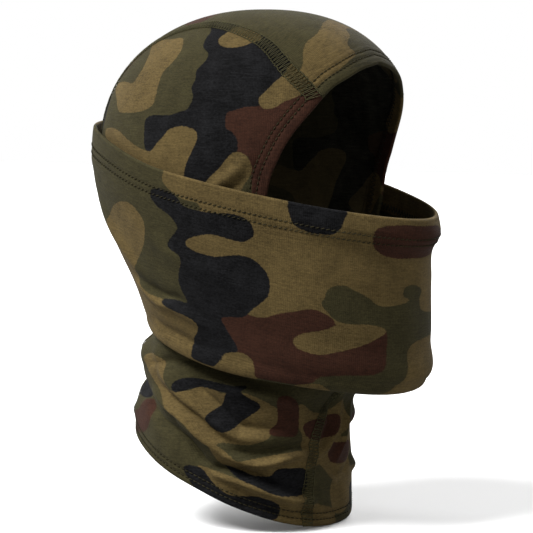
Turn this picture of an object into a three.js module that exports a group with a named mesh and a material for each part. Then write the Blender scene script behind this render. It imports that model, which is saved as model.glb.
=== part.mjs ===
// Knitted camouflage face mask: a fitted hood with a face opening and a loose cover round the lower face.
// Millimetres. Origin at the inside top of the crown, +Z up, -Y forwards, -X the wearer's right.
import * as THREE from 'three';

// Overall size
const HEAD_HALF_WIDTH = 76;
const HEAD_FRONT = 95;
const HEAD_BACK = 94.5;
const CROWN_TOP = 1.5;
const CROWN_HEIGHT = 83.5;
const BODY_DROP = 218;
const CROWN_SETBACK = 4;
const HOOD_SQUARENESS = 2.1;
const DOME_POWER_SIDE = 2.25;
const DOME_POWER_FRONT = 2.3;
const DOME_POWER_BACK = 2.2;

// Cloth and thread
const CLOTH = 1.4;
const HEM_CLOTH = 2.4;
const GAP = 0.3;
const PANEL_GAP = 0.6;
const SEAM_GAP = 0.5;
const THREAD_WIDTH = 0.8;
const THREAD_HEIGHT = 0.5;
const LADDER_SPAN = 5.6;
const LADDER_HEIGHT = 0.8;
const LOOPER_HEIGHT = 0.5;
const LOOPER_MARGIN = 0.4;
const SEAM_RISE_REACH = 14;

// Hems: width, and the two needle rows measured from the folded edge
const FACE_HEM = { width: 12, rows: [6, 10] };
const NECK_HEM = { width: 10, rows: [4, 7.5] };
const COVER_HEM = { width: 17, rows: [11, 15] };

// Heights below the widest place are given for this drop, and follow BODY_DROP
const STANDARD_DROP = 218;
const WIDEST_Z = CROWN_TOP - CROWN_HEIGHT;
const below = (height) => WIDEST_Z - (height * BODY_DROP) / STANDARD_DROP;
const heightBelow = (z) => ((WIDEST_Z - z) * STANDARD_DROP) / BODY_DROP;

// Neck hem and cover lie in planes that drop towards the face: height = level + slope * y
const NECK_HEM_LEVEL = below(186);
const NECK_HEM_SLOPE = 0.42;
const COVER_SLOPE = 0.22;
const COVER_TOP = below(8);
const COVER_JOIN = below(100);
const COVER_ROLL_START = below(102);
const COVER_FOLD = below(109);
const JOIN_WIDTH = 4;
const JOIN_HEIGHT = 0.9;

// Outlines: [drop below the widest level as a share of BODY_DROP, share of the size at that level]
const BODY_WIDTH = [[0, 1], [0.15, 0.975], [0.31, 0.885], [0.45, 0.79], [0.54, 0.77], [0.66, 0.79], [1, 0.79]];
const BODY_FRONT = [
  [0, 1], [0.15, 0.99], [0.31, 0.94], [0.45, 0.885], [0.53, 0.82],
  [0.585, 0.7], [0.635, 0.59], [0.69, 0.56], [0.82, 0.56], [1, 0.57],
];
const BODY_BACK = [
  [0, 1], [0.1, 0.945], [0.175, 0.865], [0.245, 0.76], [0.31, 0.67], [0.38, 0.6],
  [0.43, 0.575], [0.475, 0.61], [0.53, 0.705], [0.6, 0.735], [0.75, 0.775], [1, 0.83],
];
const BODY_CENTRE = [[0, 0], [0.31, 0.04], [0.54, 0.085], [1, 0.095]];

// Face opening, right half: [degrees round from the front, level], level +1 at the crown and -1 at the bottom
const OPENING = [
  [0, 0.635], [11.5, 0.6], [21.5, 0.535], [29.5, 0.461], [37.6, 0.321], [44.9, 0.169], [49.4, 0.031],
  [52.6, -0.046], [53.8, -0.117], [54.5, -0.2], [53, -0.28], [47, -0.36], [35, -0.425], [18, -0.453], [0, -0.46],
];

// Crown seam: [degrees over the head from the brow, half-width], then [share of the drop to the hem, half-width]
const SEAM_OVER = [[20, 45], [27, 46.5], [42, 49], [62, 45], [79, 41], [94, 36.5], [108, 35], [150, 34], [180, 33]];
const SEAM_DOWN = [[0, 33], [0.5, 27], [1, 22]];

// Throat seam: [level, degrees towards the wearer's right]
const THROAT_SEAM = [[-0.52, 0], [-0.62, 3], [-0.75, 11], [-0.85, 15], [-1, 16]];

// Cover: how far it stands off the hood, [height below the widest place, mm]
const EASE_SIDE = [[8, 5.2], [25, 5.6], [46, 6.2], [81, 7.4], [102, 6.8], [109, 4.8]];
const EASE_FRONT = [[8, 17.7], [19, 20], [28, 16], [46, 17], [81, 21.5], [102, 28.5], [109, 25]];
const EASE_BACK = [[8, 5.2], [25, 5.2], [46, 5.6], [76, 6.8], [102, 6.8], [109, 5.8]];
const NOSE_POINT = [[8, 1.82], [30, 1.88], [48, 1.95], [78, 2.1], [109, 2.1]];

// Mesh steps
const RING_STEPS = 52;
const OPENING_STEPS = 68;
const HALF_OPENING_STEPS = 60;
const SEAM_STEPS = 54;
const PANEL_ROWS = 38;
const PANEL_COLUMNS = 9;
const COVER_ROWS = 5;
const ROW_DROOP = 14;

const OLIVE = 0x4a4833;
const BROWN = 0x4a3329;
const TAN = 0x75613f;
const DARK_THREAD = 0x1d1b17;
const LADDER_THREAD = 0x4b4736;

const HEAD_CENTRE = new THREE.Vector3(0, 0, WIDEST_Z - 20);
const DEG = Math.PI / 180;

const mix = (a, b, t) => a + (b - a) * t;
const clamp01 = (t) => Math.min(1, Math.max(0, t));
const steps = (count, from = 0, to = 1) =>
  Array.from({ length: count + 1 }, (_, i) => mix(from, to, i / count));

/** Smooth curve through [key, value] stations in either key order. */
function along(stations, key) {
  const table = stations[0][0] < stations[1][0] ? stations : [...stations].reverse();
  const last = table.length - 1;
  const at = Math.min(table[last][0], Math.max(table[0][0], key));
  let k = 0;
  while (k < last - 1 && at > table[k + 1][0]) k += 1;
  const slope = (i) => (table[i + 1][1] - table[i][1]) / (table[i + 1][0] - table[i][0]);
  const tangent = (i) => {
    if (i === 0) return slope(0);
    if (i === last) return slope(last - 1);
    const before = table[i][0] - table[i - 1][0];
    const after = table[i + 1][0] - table[i][0];
    return (slope(i - 1) * after + slope(i) * before) / (before + after);
  };
  const span = table[k + 1][0] - table[k][0];
  const t = (at - table[k][0]) / span;
  const rise = t * t * (3 - 2 * t);
  return mix(table[k][1], table[k + 1][1], rise)
    + span * t * (1 - t) * ((1 - t) * tangent(k) - t * tangent(k + 1));
}

/** Height of a level: share of the crown above the widest place, share of the body below it. */
function levelZ(level) {
  return WIDEST_Z + level * (level > 0 ? CROWN_HEIGHT : BODY_DROP);
}

/** Half sizes of the hood's outer face at a height. */
function hoodSection(z) {
  if (z > WIDEST_Z) {
    const u = Math.min(1, (z - WIDEST_Z) / CROWN_HEIGHT);
    const dome = (power) => (1 - u ** power) ** (1 / power);
    return {
      side: HEAD_HALF_WIDTH * dome(DOME_POWER_SIDE),
      front: HEAD_FRONT * dome(DOME_POWER_FRONT),
      back: HEAD_BACK * dome(DOME_POWER_BACK),
      centre: -CROWN_SETBACK * u * u,
    };
  }
  const drop = (WIDEST_Z - z) / BODY_DROP;
  const centre = HEAD_BACK * along(BODY_CENTRE, drop);
  return {
    side: HEAD_HALF_WIDTH * along(BODY_WIDTH, drop),
    front: HEAD_FRONT * along(BODY_FRONT, drop) + centre,
    back: HEAD_BACK * along(BODY_BACK, drop) - centre,
    centre,
  };
}

/** Distance from the ring's centre to its outline at an angle round from the front. */
function ringReach(section, angle, power) {
  const across = Math.abs(Math.sin(angle)) / section.side;
  const deep = Math.abs(Math.cos(angle)) / (Math.cos(angle) > 0 ? section.front : section.back);
  return (across ** power + deep ** power) ** (-1 / power);
}

function polar(angle, reach, centre, z) {
  return new THREE.Vector3(-reach * Math.sin(angle), centre - reach * Math.cos(angle), z);
}

function hoodPoint(angle, z) {
  const section = hoodSection(z);
  return polar(angle, ringReach(section, angle, HOOD_SQUARENESS), section.centre, z);
}

/** Heights measured along the hood's wall, so that even steps stay even over the dome. */
function wallFromZ(z) {
  if (z <= WIDEST_Z) return z - WIDEST_Z;
  return CROWN_HEIGHT * Math.asin(clamp01((z - WIDEST_Z) / CROWN_HEIGHT));
}

function zFromWall(wall) {
  if (wall <= 0) return WIDEST_Z + wall;
  return WIDEST_Z + CROWN_HEIGHT * Math.sin(Math.min(Math.PI / 2, wall / CROWN_HEIGHT));
}

const hoodWall = (angle, wall) => hoodPoint(angle, zFromWall(wall));

/** Point of a surface, raised along its outward normal. */
function raised(surface, u, v, height) {
  const d = 1e-3;
  const p = surface(u, v);
  const alongU = surface(u + d, v).sub(surface(u - d, v));
  const alongV = surface(u, v + d).sub(surface(u, v - d));
  const normal = alongU.cross(alongV).normalize();
  if (normal.dot(p.clone().sub(HEAD_CENTRE)) < 0) normal.negate();
  return p.addScaledVector(normal, height);
}

/** Closed body from rings of points; each ring is one closed outline. */
function loft(rings, closedLoop) {
  const size = rings[0].length;
  const positions = rings.flat().flatMap((p) => [p.x, p.y, p.z]);
  const index = [];
  const at = (i, j) => (i % rings.length) * size + (j % size);
  const lastRing = closedLoop ? rings.length : rings.length - 1;
  for (let i = 0; i < lastRing; i += 1) {
    for (let j = 0; j < size; j += 1) {
      index.push(at(i, j), at(i + 1, j), at(i + 1, j + 1));
      index.push(at(i, j), at(i + 1, j + 1), at(i, j + 1));
    }
  }
  if (!closedLoop) {
    const half = size / 2;
    for (let j = 0; j < half - 1; j += 1) {
      const opposite = size - 1 - j;
      for (const [ring, flip] of [[0, false], [rings.length - 1, true]]) {
        const quad = [at(ring, j), at(ring, j + 1), at(ring, opposite - 1), at(ring, opposite)];
        if (flip) quad.reverse();
        index.push(quad[0], quad[1], quad[2], quad[0], quad[2], quad[3]);
      }
    }
  }
  return faceOut(positions, index);
}

/** Turns the faces outwards and returns the geometry. */
function faceOut(positions, index) {
  const corner = (i) => new THREE.Vector3().fromArray(positions, 3 * i);
  let volume = 0;
  for (let t = 0; t < index.length; t += 3) {
    const [a, b, c] = [corner(index[t]), corner(index[t + 1]), corner(index[t + 2])];
    volume += a.dot(b.cross(c));
  }
  if (volume < 0) index.reverse();
  const geometry = new THREE.BufferGeometry();
  geometry.setAttribute('position', new THREE.Float32BufferAttribute(positions, 3));
  geometry.setIndex(index);
  geometry.computeVertexNormals();
  return geometry;
}

/** Cloth or thread between two heights over a surface; us run along it and vs across it. */
function layer(surface, us, vs, low, high, closedLoop = false) {
  const height = (h, u, v) => (typeof h === 'function' ? h(u, v) : h);
  const rings = us.map((u) => [
    ...vs.map((v) => raised(surface, u, v, height(high, u, v))),
    ...[...vs].reverse().map((v) => raised(surface, u, v, height(low, u, v))),
  ]);
  return loft(rings, closedLoop);
}

const ringSteps = steps(RING_STEPS, 0, 2 * Math.PI).slice(0, -1);

// ---- Face opening and its hem -------------------------------------------------------------

/** Right half of the opening's edge as [angle, wall] pairs, brow to chin. */
function openingEdge() {
  const last = OPENING.length - 1;
  const angles = OPENING.map(([angle], i) => [i, angle * DEG]);
  const walls = OPENING.map(([, level], i) => [i, wallFromZ(levelZ(level))]);
  return steps(HALF_OPENING_STEPS, 0, last).map((t) => [along(angles, t), along(walls, t)]);
}

/** Moves the edge outwards over the cloth by a distance. */
function besideEdge(edge, distance) {
  const mirror = ([angle, wall]) => [-angle, wall];
  return edge.map(([angle, wall], i) => {
    const before = i > 0 ? edge[i - 1] : mirror(edge[1]);
    const after = i < edge.length - 1 ? edge[i + 1] : mirror(edge[i - 1]);
    const d = 1e-3;
    const perAngle = hoodWall(angle + d, wall).sub(hoodWall(angle - d, wall)).divideScalar(2 * d);
    const perWall = hoodWall(angle, wall + d).sub(hoodWall(angle, wall - d)).divideScalar(2 * d);
    const run = perAngle.clone().multiplyScalar(after[0] - before[0])
      .addScaledVector(perWall, after[1] - before[1]);
    const across = perAngle.clone().cross(perWall).cross(run).normalize();
    if (i > 0 && i < edge.length - 1) {
      const away = hoodWall(angle, wall).sub(hoodPoint(0, WIDEST_Z - 0.12 * BODY_DROP));
      if (across.dot(away) < 0) across.negate();
    } else if (across.z * (i === 0 ? 1 : -1) < 0) across.negate();
    const [aa, ab, bb] = [perAngle.dot(perAngle), perAngle.dot(perWall), perWall.dot(perWall)];
    const [pa, pb] = [across.dot(perAngle) * distance, across.dot(perWall) * distance];
    const det = aa * bb - ab * ab;
    return [angle + (pa * bb - pb * ab) / det, wall + (pb * aa - pa * ab) / det];
  });
}

const HEM_TRACK = 3;
const openingTracks = [openingEdge()];
for (let d = HEM_TRACK; d <= FACE_HEM.width + HEM_TRACK; d += HEM_TRACK) {
  openingTracks.push(besideEdge(openingTracks[openingTracks.length - 1], HEM_TRACK));
}

/** Angle and wall height beside the opening: q runs 0 to 1 brow to chin, and back by the left side to 2. */
function openingPlace(q, distance) {
  const around = q > 1 ? q - 2 : q;
  const at = Math.min(1, Math.abs(around)) * HALF_OPENING_STEPS;
  const i = Math.min(HALF_OPENING_STEPS - 1, Math.floor(at));
  const track = Math.min(openingTracks.length - 2, Math.max(0, Math.floor(distance / HEM_TRACK)));
  const across = distance / HEM_TRACK - track;
  const pick = (row, k) => mix(openingTracks[row][i][k], openingTracks[row][i + 1][k], at - i);
  const [angle, wall] = [0, 1].map((k) => mix(pick(track, k), pick(track + 1, k), across));
  return [around < 0 ? -angle : angle, wall];
}

const besideOpening = (q, distance) => hoodWall(...openingPlace(q, distance));

// ---- Crown seam ------------------------------------------------------------------------------

const DOME_SHARE = 0.5;

/** Outer face of the hood at a sideways place, on a ray over the head or level behind it. */
function crownPoint(x, course) {
  const over = Math.min(1, course / DOME_SHARE) * 180 * DEG;
  const down = Math.max(0, course - DOME_SHARE) / (1 - DOME_SHARE);
  const z0 = WIDEST_Z - down * (WIDEST_Z - neckHemZ(backAngle(x), NECK_HEM.width + PANEL_GAP));
  const toward = down > 0 ? new THREE.Vector3(0, 1, 0) : new THREE.Vector3(0, -Math.cos(over), Math.sin(over));
  let [near, far] = [0, 2 * HEAD_BACK];
  for (let n = 0; n < 40; n += 1) {
    const r = (near + far) / 2;
    const [y, z] = [toward.y * r, z0 + toward.z * r];
    if (insideHood(x, y, z)) near = r;
    else far = r;
  }
  return new THREE.Vector3(x, toward.y * near, z0 + toward.z * near);
}

function insideHood(x, y, z) {
  if (z >= CROWN_TOP) return false;
  const s = hoodSection(z);
  const deep = Math.abs(y - s.centre) / (y < s.centre ? s.front : s.back);
  return (Math.abs(x) / s.side) ** HOOD_SQUARENESS + deep ** HOOD_SQUARENESS < 1;
}

const backAngle = (x) => Math.PI - Math.asin(clamp01(Math.abs(x) / (0.79 * HEAD_HALF_WIDTH)));

function seamHalfWidth(course) {
  const widthShare = HEAD_HALF_WIDTH / 76;
  if (course < DOME_SHARE) return widthShare * along(SEAM_OVER, (course / DOME_SHARE) * 180);
  return widthShare * along(SEAM_DOWN, (course - DOME_SHARE) / (1 - DOME_SHARE));
}

/** Course along the crown at which a sideways place meets a line beside the opening. */
function browCourse(x, distance) {
  let [low, high] = [0, 0.999];
  for (let n = 0; n < 30; n += 1) {
    const q = (low + high) / 2;
    if (-besideOpening(q, distance).x < Math.abs(x)) low = q;
    else high = q;
  }
  const p = besideOpening(low, distance);
  return (Math.atan2(p.z - WIDEST_Z, -p.y) / Math.PI) * DOME_SHARE;
}

/** Where the crown seam crosses a line beside the opening, as q. */
function seamCrossing(distance) {
  let [low, high] = [0.05, 0.6];
  for (let n = 0; n < 30; n += 1) {
    const q = (low + high) / 2;
    const p = besideOpening(q, distance);
    const course = (Math.atan2(p.z - WIDEST_Z, -p.y) / Math.PI) * DOME_SHARE;
    if (-p.x < seamHalfWidth(Math.max(0.02, course))) low = q;
    else high = q;
  }
  return low;
}

const seamPoint = (course, beside = 0) => crownPoint(-seamHalfWidth(course) - beside, course);
const seamStart = (distance) => {
  const p = besideOpening(seamCrossing(distance), distance);
  return (Math.atan2(p.z - WIDEST_Z, -p.y) / Math.PI) * DOME_SHARE;
};

// ---- Neck hem and throat seam ----------------------------------------------------------------

function neckHemZ(angle, above) {
  let z = NECK_HEM_LEVEL;
  for (let n = 0; n < 12; n += 1) z = NECK_HEM_LEVEL + NECK_HEM_SLOPE * hoodPoint(angle, z).y + above;
  return z;
}

/** Course past the hem line at which the crown seam reaches the neck's folded edge. */
const napeDrop = WIDEST_Z - neckHemZ(Math.PI, NECK_HEM.width + PANEL_GAP);
const SEAM_END = 1 + ((1 - DOME_SHARE) * (NECK_HEM.width + PANEL_GAP)) / napeDrop;

const neckHem = (angle, above) => hoodPoint(angle, neckHemZ(angle, above));
const throatAngle = (z) => along(THROAT_SEAM, (z - WIDEST_Z) / BODY_DROP) * DEG;

function throatPoint(t, beside) {
  const top = zFromWall(openingPlace(1, FACE_HEM.width + 2 * PANEL_GAP)[1]);
  const z = mix(top, neckHemZ(throatAngle(NECK_HEM_LEVEL), 0), t);
  const reach = hoodPoint(0, z).y;
  return hoodPoint(throatAngle(z) - beside / reach, z);
}

// ---- How much a row of stitches climbs where it crosses a raised seam -------------------------

const ladderLine = [];
for (const t of steps(90)) {
  const crown = seamPoint(mix(seamStart(0), SEAM_END, t), LADDER_SPAN / 2);
  ladderLine.push(crown, crown.clone().multiply(new THREE.Vector3(-1, 1, 1)), throatPoint(t, 0));
}

function seamRise(p) {
  const nearest = Math.min(...ladderLine.map((q) => q.distanceTo(p)));
  const t = clamp01((SEAM_RISE_REACH + LADDER_SPAN / 2 - nearest) / (SEAM_RISE_REACH - LADDER_SPAN / 2));
  return (LADDER_HEIGHT + SEAM_GAP) * t * t * (3 - 2 * t);
}

/** A band of thread that follows a ring and climbs over the seams. */
function climbingBand(surface, us, vs, height) {
  const base = (u, v) => SEAM_GAP + seamRise(surface(u, v));
  return layer(surface, us, vs, base, (u, v) => base(u, v) + height, true);
}

/** A row of thread: a three-sided cord, flat side down. */
function threadRow(surface, us, middle, climbs) {
  const rings = us.map((u) => {
    const base = GAP + (climbs ? seamRise(surface(u, middle)) : 0);
    return [[-0.5, 0], [0.5, 0], [0, THREAD_HEIGHT]]
      .map(([beside, height]) => raised(surface, u, middle + beside * THREAD_WIDTH, base + height));
  });
  return loft(rings, true);
}

function looperRow(surface, us, [first, second]) {
  const vs = [first - LOOPER_MARGIN, second + LOOPER_MARGIN];
  const top = -HEM_CLOTH - GAP;
  return layer(surface, us, vs, top - LOOPER_HEIGHT, top, true);
}

// ---- Panels ----------------------------------------------------------------------------------

/** Side panel as a four-edged patch: face edge, crown-seam edge, tip at the brow, neck edge. */
function sidePanelSurface(side) {
  const hemEdge = FACE_HEM.width + PANEL_GAP;
  const start = seamCrossing(hemEdge) + 0.012;
  const throatTop = openingPlace(1, hemEdge)[1];
  const faceShare = 0.6;
  const throatGap = GAP / 2 / (0.56 * HEAD_FRONT);
  const bottomZ = (angle) => wallFromZ(neckHemZ(angle, NECK_HEM.width + PANEL_GAP));
  const throatBottom = side * throatAngle(NECK_HEM_LEVEL) + throatGap;
  const face = (v) => {
    if (v < faceShare) return openingPlace(mix(start, 1, v / faceShare), hemEdge);
    const wall = mix(throatTop, bottomZ(throatBottom), (v - faceShare) / (1 - faceShare));
    return [side * throatAngle(zFromWall(wall)) + throatGap, wall];
  };
  const crown = (v) => {
    const p = seamPoint(mix(seamStart(hemEdge) + 0.008, 1, v), GAP);
    const centre = hoodSection(p.z).centre;
    return [Math.atan2(-p.x, centre - p.y), wallFromZ(p.z)];
  };
  const [faceEnd, crownEnd] = [face(1), crown(1)];
  return (v, u) => {
    const [f, c] = [face(clamp01(v)), crown(clamp01(v))];
    const bottomAngle = mix(faceEnd[0], crownEnd[0], u);
    const sag = bottomZ(bottomAngle) - mix(faceEnd[1], crownEnd[1], u);
    const droop = ROW_DROOP * Math.sin(Math.PI * clamp01(u)) * 4 * v * (1 - v);
    return hoodWall(side * mix(f[0], c[0], u), mix(f[1], c[1], u) + v * sag - droop);
  };
}

function crownPanelSurface() {
  return (t, across) => {
    let x = 0.5 * across * HEAD_HALF_WIDTH;
    let course = 0;
    for (let n = 0; n < 3; n += 1) {
      course = mix(browCourse(x, FACE_HEM.width + PANEL_GAP), 1, clamp01(t));
      x = across * (seamHalfWidth(course) - GAP);
    }
    return crownPoint(-x, course);
  };
}

/** A hem strip between two places round the opening. */
function faceHemStrip(from, to, count) {
  const vs = [0, FACE_HEM.width / 2, FACE_HEM.width];
  const surface = (t, distance) => besideOpening(mix(from(distance), to(distance), t), distance);
  return layer(surface, steps(count, 0.0005, 0.9995), vs, -HEM_CLOTH, 0);
}

// ---- Cover -----------------------------------------------------------------------------------

const COVER_CENTRE = 1;

function coverAt(angle, reach, level) {
  const p = polar(angle, reach, COVER_CENTRE, 0);
  p.z = level + COVER_SLOPE * p.y;
  return p;
}

/** Reach of the hood's own face on a level of the cover's sloping plane. */
function hoodReachOnSlope(angle, level) {
  let [near, far] = [0, 2 * HEAD_FRONT];
  for (let n = 0; n < 30; n += 1) {
    const r = (near + far) / 2;
    const p = coverAt(angle, r, level);
    if (insideHood(p.x, p.y, p.z)) near = r;
    else far = r;
  }
  return near;
}

const coverSections = new Map();

/** Half sizes of the cover's outer face: the hood's on that plane and the ease over it. */
function coverSection(level) {
  const key = level.toFixed(4);
  if (!coverSections.has(key)) {
    coverSections.set(key, {
      side: hoodReachOnSlope(Math.PI / 2, level) + along(EASE_SIDE, heightBelow(level)),
      front: hoodReachOnSlope(0, level) + along(EASE_FRONT, heightBelow(level)),
      back: hoodReachOnSlope(Math.PI, level) + along(EASE_BACK, heightBelow(level)),
    });
  }
  return coverSections.get(key);
}

function coverReach(angle, level) {
  const power = Math.cos(angle) > 0 ? along(NOSE_POINT, heightBelow(level)) : HOOD_SQUARENESS;
  return ringReach(coverSection(level), angle, power);
}

const coverPoint = (angle, level) => coverAt(angle, coverReach(angle, level), level);
const joinSurface = (angle, level) => coverAt(angle, hoodReachOnSlope(angle, level), level);

/** Cross-section of the cover: down the outer wall, round the fold, up to the join. */
function coverProfile(angle) {
  const wallTop = COVER_TOP - COVER_HEM.width - GAP;
  const outer = steps(COVER_ROWS, wallTop, COVER_ROLL_START)
    .map((level) => [coverReach(angle, level) - CLOTH / 2, level]);
  const inner = [COVER_JOIN - JOIN_WIDTH / 2, COVER_JOIN + JOIN_WIDTH / 2].map((level) => {
    const climb = seamRise(joinSurface(angle, level));
    const stand = SEAM_GAP + JOIN_HEIGHT + climb + GAP + CLOTH / 2;
    const p = raised(joinSurface, angle, level, stand);
    return [Math.hypot(p.x, p.y - COVER_CENTRE), p.z - COVER_SLOPE * p.y];
  });
  const [outerEnd, innerEnd] = [outer[outer.length - 1], inner[0]];
  const depth = COVER_ROLL_START - COVER_FOLD - CLOTH / 2;
  const fold = [45, 90, 135].map((turn) => {
    const share = (1 - Math.cos(turn * DEG)) / 2;
    const level = mix(outerEnd[1], innerEnd[1], share) - depth * Math.sin(turn * DEG);
    return [mix(outerEnd[0], innerEnd[0], share), level];
  });
  const line = [...outer, ...fold, ...inner];
  const offset = (sign) => line.map((p, i) => {
    const a = line[Math.max(0, i - 1)];
    const b = line[Math.min(line.length - 1, i + 1)];
    const length = Math.hypot(b[0] - a[0], b[1] - a[1]);
    const shift = (sign * CLOTH) / 2 / length;
    return coverAt(angle, p[0] - (b[1] - a[1]) * shift, p[1] + (b[0] - a[0]) * shift);
  });
  return [...offset(1), ...offset(-1).reverse()];
}

// ---- Assembly --------------------------------------------------------------------------------

function piece(name, geometry, color, roughness) {
  const material = new THREE.MeshStandardMaterial({ color, roughness, metalness: 0 });
  const mesh = new THREE.Mesh(geometry, material);
  mesh.name = name;
  return mesh;
}

function mirrored(geometry) {
  const copy = geometry.clone();
  copy.applyMatrix4(new THREE.Matrix4().makeScale(-1, 1, 1));
  const positions = Array.from(copy.getAttribute('position').array);
  return faceOut(positions, Array.from(copy.getIndex().array));
}

const mask = new THREE.Group();
mask.name = 'camouflage_face_mask';

const crownCloth = layer(crownPanelSurface(), steps(PANEL_ROWS), steps(8, -1, 1), -CLOTH, 0);
mask.add(piece('crown_panel', crownCloth, OLIVE, 0.9));
for (const [side, name] of [[1, 'side_panel_right'], [-1, 'side_panel_left']]) {
  const columns = steps(PANEL_COLUMNS).map((u) => u ** 1.3);
  const cloth = layer(sidePanelSurface(side), steps(PANEL_ROWS), columns, -CLOTH, 0);
  mask.add(piece(name, cloth, OLIVE, 0.9));
}

const seamCourse = steps(SEAM_STEPS, seamStart(0) + 0.003, SEAM_END);
const seamSurface = (course, beside) => seamPoint(course, beside);
const ladder = layer(seamSurface, seamCourse, [GAP, LADDER_SPAN], SEAM_GAP, SEAM_GAP + LADDER_HEIGHT);
const needleRow = layer(seamSurface, seamCourse, [-THREAD_WIDTH, 0], SEAM_GAP, SEAM_GAP + THREAD_HEIGHT);
mask.add(piece('crown_seam_right', ladder, LADDER_THREAD, 0.85));
mask.add(piece('crown_seam_left', mirrored(ladder), LADDER_THREAD, 0.85));
mask.add(piece('crown_needle_row_right', needleRow, DARK_THREAD, 0.8));
mask.add(piece('crown_needle_row_left', mirrored(needleRow), DARK_THREAD, 0.8));

const throatSpan = [-LADDER_SPAN / 2, LADDER_SPAN / 2];
const throat = layer(throatPoint, steps(22, 0.01, 0.995), throatSpan, SEAM_GAP, SEAM_GAP + LADDER_HEIGHT);
mask.add(piece('throat_seam', throat, LADDER_THREAD, 0.85));

const crossAt = (distance) => mix(seamCrossing(0), seamCrossing(FACE_HEM.width), distance / FACE_HEM.width);
const brow = faceHemStrip((d) => -crossAt(d), crossAt, 18);
const faceHem = faceHemStrip((d) => crossAt(d) + 0.003, () => 0.9995, 28);
mask.add(piece('brow_hem', brow, TAN, 0.9));
mask.add(piece('face_hem_right', faceHem, BROWN, 0.9));
mask.add(piece('face_hem_left', mirrored(faceHem), BROWN, 0.9));

const openingLoop = steps(OPENING_STEPS, 0, 2).slice(0, -1);
const [innerRow, outerRow] = FACE_HEM.rows;
mask.add(piece('face_hem_inner_row', threadRow(besideOpening, openingLoop, innerRow, true), DARK_THREAD, 0.8));
mask.add(piece('face_hem_outer_row', threadRow(besideOpening, openingLoop, outerRow, true), DARK_THREAD, 0.8));
mask.add(piece('face_hem_looper', looperRow(besideOpening, openingLoop, FACE_HEM.rows), DARK_THREAD, 0.85));

mask.add(piece('neck_hem', layer(neckHem, ringSteps, [0, NECK_HEM.width / 2, NECK_HEM.width], -HEM_CLOTH, 0, true), OLIVE, 0.9));
const [lowerRow, upperRow] = NECK_HEM.rows;
mask.add(piece('neck_hem_lower_row', threadRow(neckHem, ringSteps, lowerRow, true), DARK_THREAD, 0.8));
mask.add(piece('neck_hem_upper_row', threadRow(neckHem, ringSteps, upperRow, true), DARK_THREAD, 0.8));
mask.add(piece('neck_hem_looper', looperRow(neckHem, ringSteps, NECK_HEM.rows), DARK_THREAD, 0.85));

const joinEdges = [COVER_JOIN - JOIN_WIDTH / 2, COVER_JOIN + JOIN_WIDTH / 2];
mask.add(piece('cover_join_seam', climbingBand(joinSurface, ringSteps, joinEdges, JOIN_HEIGHT), DARK_THREAD, 0.85));
mask.add(piece('face_cover', loft(ringSteps.map(coverProfile), true), OLIVE, 0.92));

const coverLevels = [0, COVER_HEM.rows[0], COVER_HEM.width].map((below) => COVER_TOP - below);
mask.add(piece('cover_top_hem', layer(coverPoint, ringSteps, coverLevels, -HEM_CLOTH, 0, true), OLIVE, 0.92));
const coverRows = COVER_HEM.rows.map((below) => COVER_TOP - below);
const coverRow = (level) => threadRow(coverPoint, ringSteps, level, false);
mask.add(piece('cover_hem_upper_row', coverRow(coverRows[0]), DARK_THREAD, 0.8));
mask.add(piece('cover_hem_lower_row', coverRow(coverRows[1]), DARK_THREAD, 0.8));
const coverLooper = looperRow(coverPoint, ringSteps, [coverRows[1], coverRows[0]]);
mask.add(piece('cover_hem_looper', coverLooper, DARK_THREAD, 0.85));

export default mask;
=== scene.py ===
"""Camouflage face mask: a stretched knit hood with a face opening and a loose cover round the lower face.

Every cloth is a surface worked out on a grid of two parameters, given its thickness afterwards, and every
stitch is a short bent thread. Shapes are worked out in millimetres and put into the meshes in metres.
Z is up, the face looks along -Y and the wearer's right is -X; the origin is the inside top of the crown.
"""

from __future__ import annotations

import logging
import math
from dataclasses import astuple, dataclass, field
from enum import Enum
from functools import cached_property, partial
from typing import Callable

import bpy
import mathutils
import numpy as np
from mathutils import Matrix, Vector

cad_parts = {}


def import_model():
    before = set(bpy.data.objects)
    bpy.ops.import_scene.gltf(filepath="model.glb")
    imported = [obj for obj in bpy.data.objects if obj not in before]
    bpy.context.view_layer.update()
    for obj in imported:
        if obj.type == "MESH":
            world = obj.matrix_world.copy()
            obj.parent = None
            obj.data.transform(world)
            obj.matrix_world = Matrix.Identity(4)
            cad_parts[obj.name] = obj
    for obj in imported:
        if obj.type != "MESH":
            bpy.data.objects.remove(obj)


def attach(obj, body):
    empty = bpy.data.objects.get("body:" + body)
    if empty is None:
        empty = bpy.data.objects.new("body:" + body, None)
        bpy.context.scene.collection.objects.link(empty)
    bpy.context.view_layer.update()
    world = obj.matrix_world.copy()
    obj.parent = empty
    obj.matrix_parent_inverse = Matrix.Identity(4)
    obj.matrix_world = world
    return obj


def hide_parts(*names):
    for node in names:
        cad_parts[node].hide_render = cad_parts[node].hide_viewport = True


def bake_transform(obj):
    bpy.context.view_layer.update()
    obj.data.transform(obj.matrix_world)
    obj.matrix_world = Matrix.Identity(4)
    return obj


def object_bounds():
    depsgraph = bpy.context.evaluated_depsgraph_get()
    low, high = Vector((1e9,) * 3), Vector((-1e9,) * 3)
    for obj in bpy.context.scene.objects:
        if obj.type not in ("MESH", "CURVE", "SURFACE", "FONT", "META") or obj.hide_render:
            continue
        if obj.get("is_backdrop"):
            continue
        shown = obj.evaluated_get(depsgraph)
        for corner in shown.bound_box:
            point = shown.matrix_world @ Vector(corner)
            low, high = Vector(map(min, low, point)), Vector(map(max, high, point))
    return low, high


Array = np.ndarray
Line = tuple[tuple[float, float], ...]
Surface = Callable[[Array, Array], Array]
Thing, Material = bpy.types.Object, bpy.types.Material
Tree, Socket = bpy.types.NodeTree, bpy.types.NodeSocket

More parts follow.
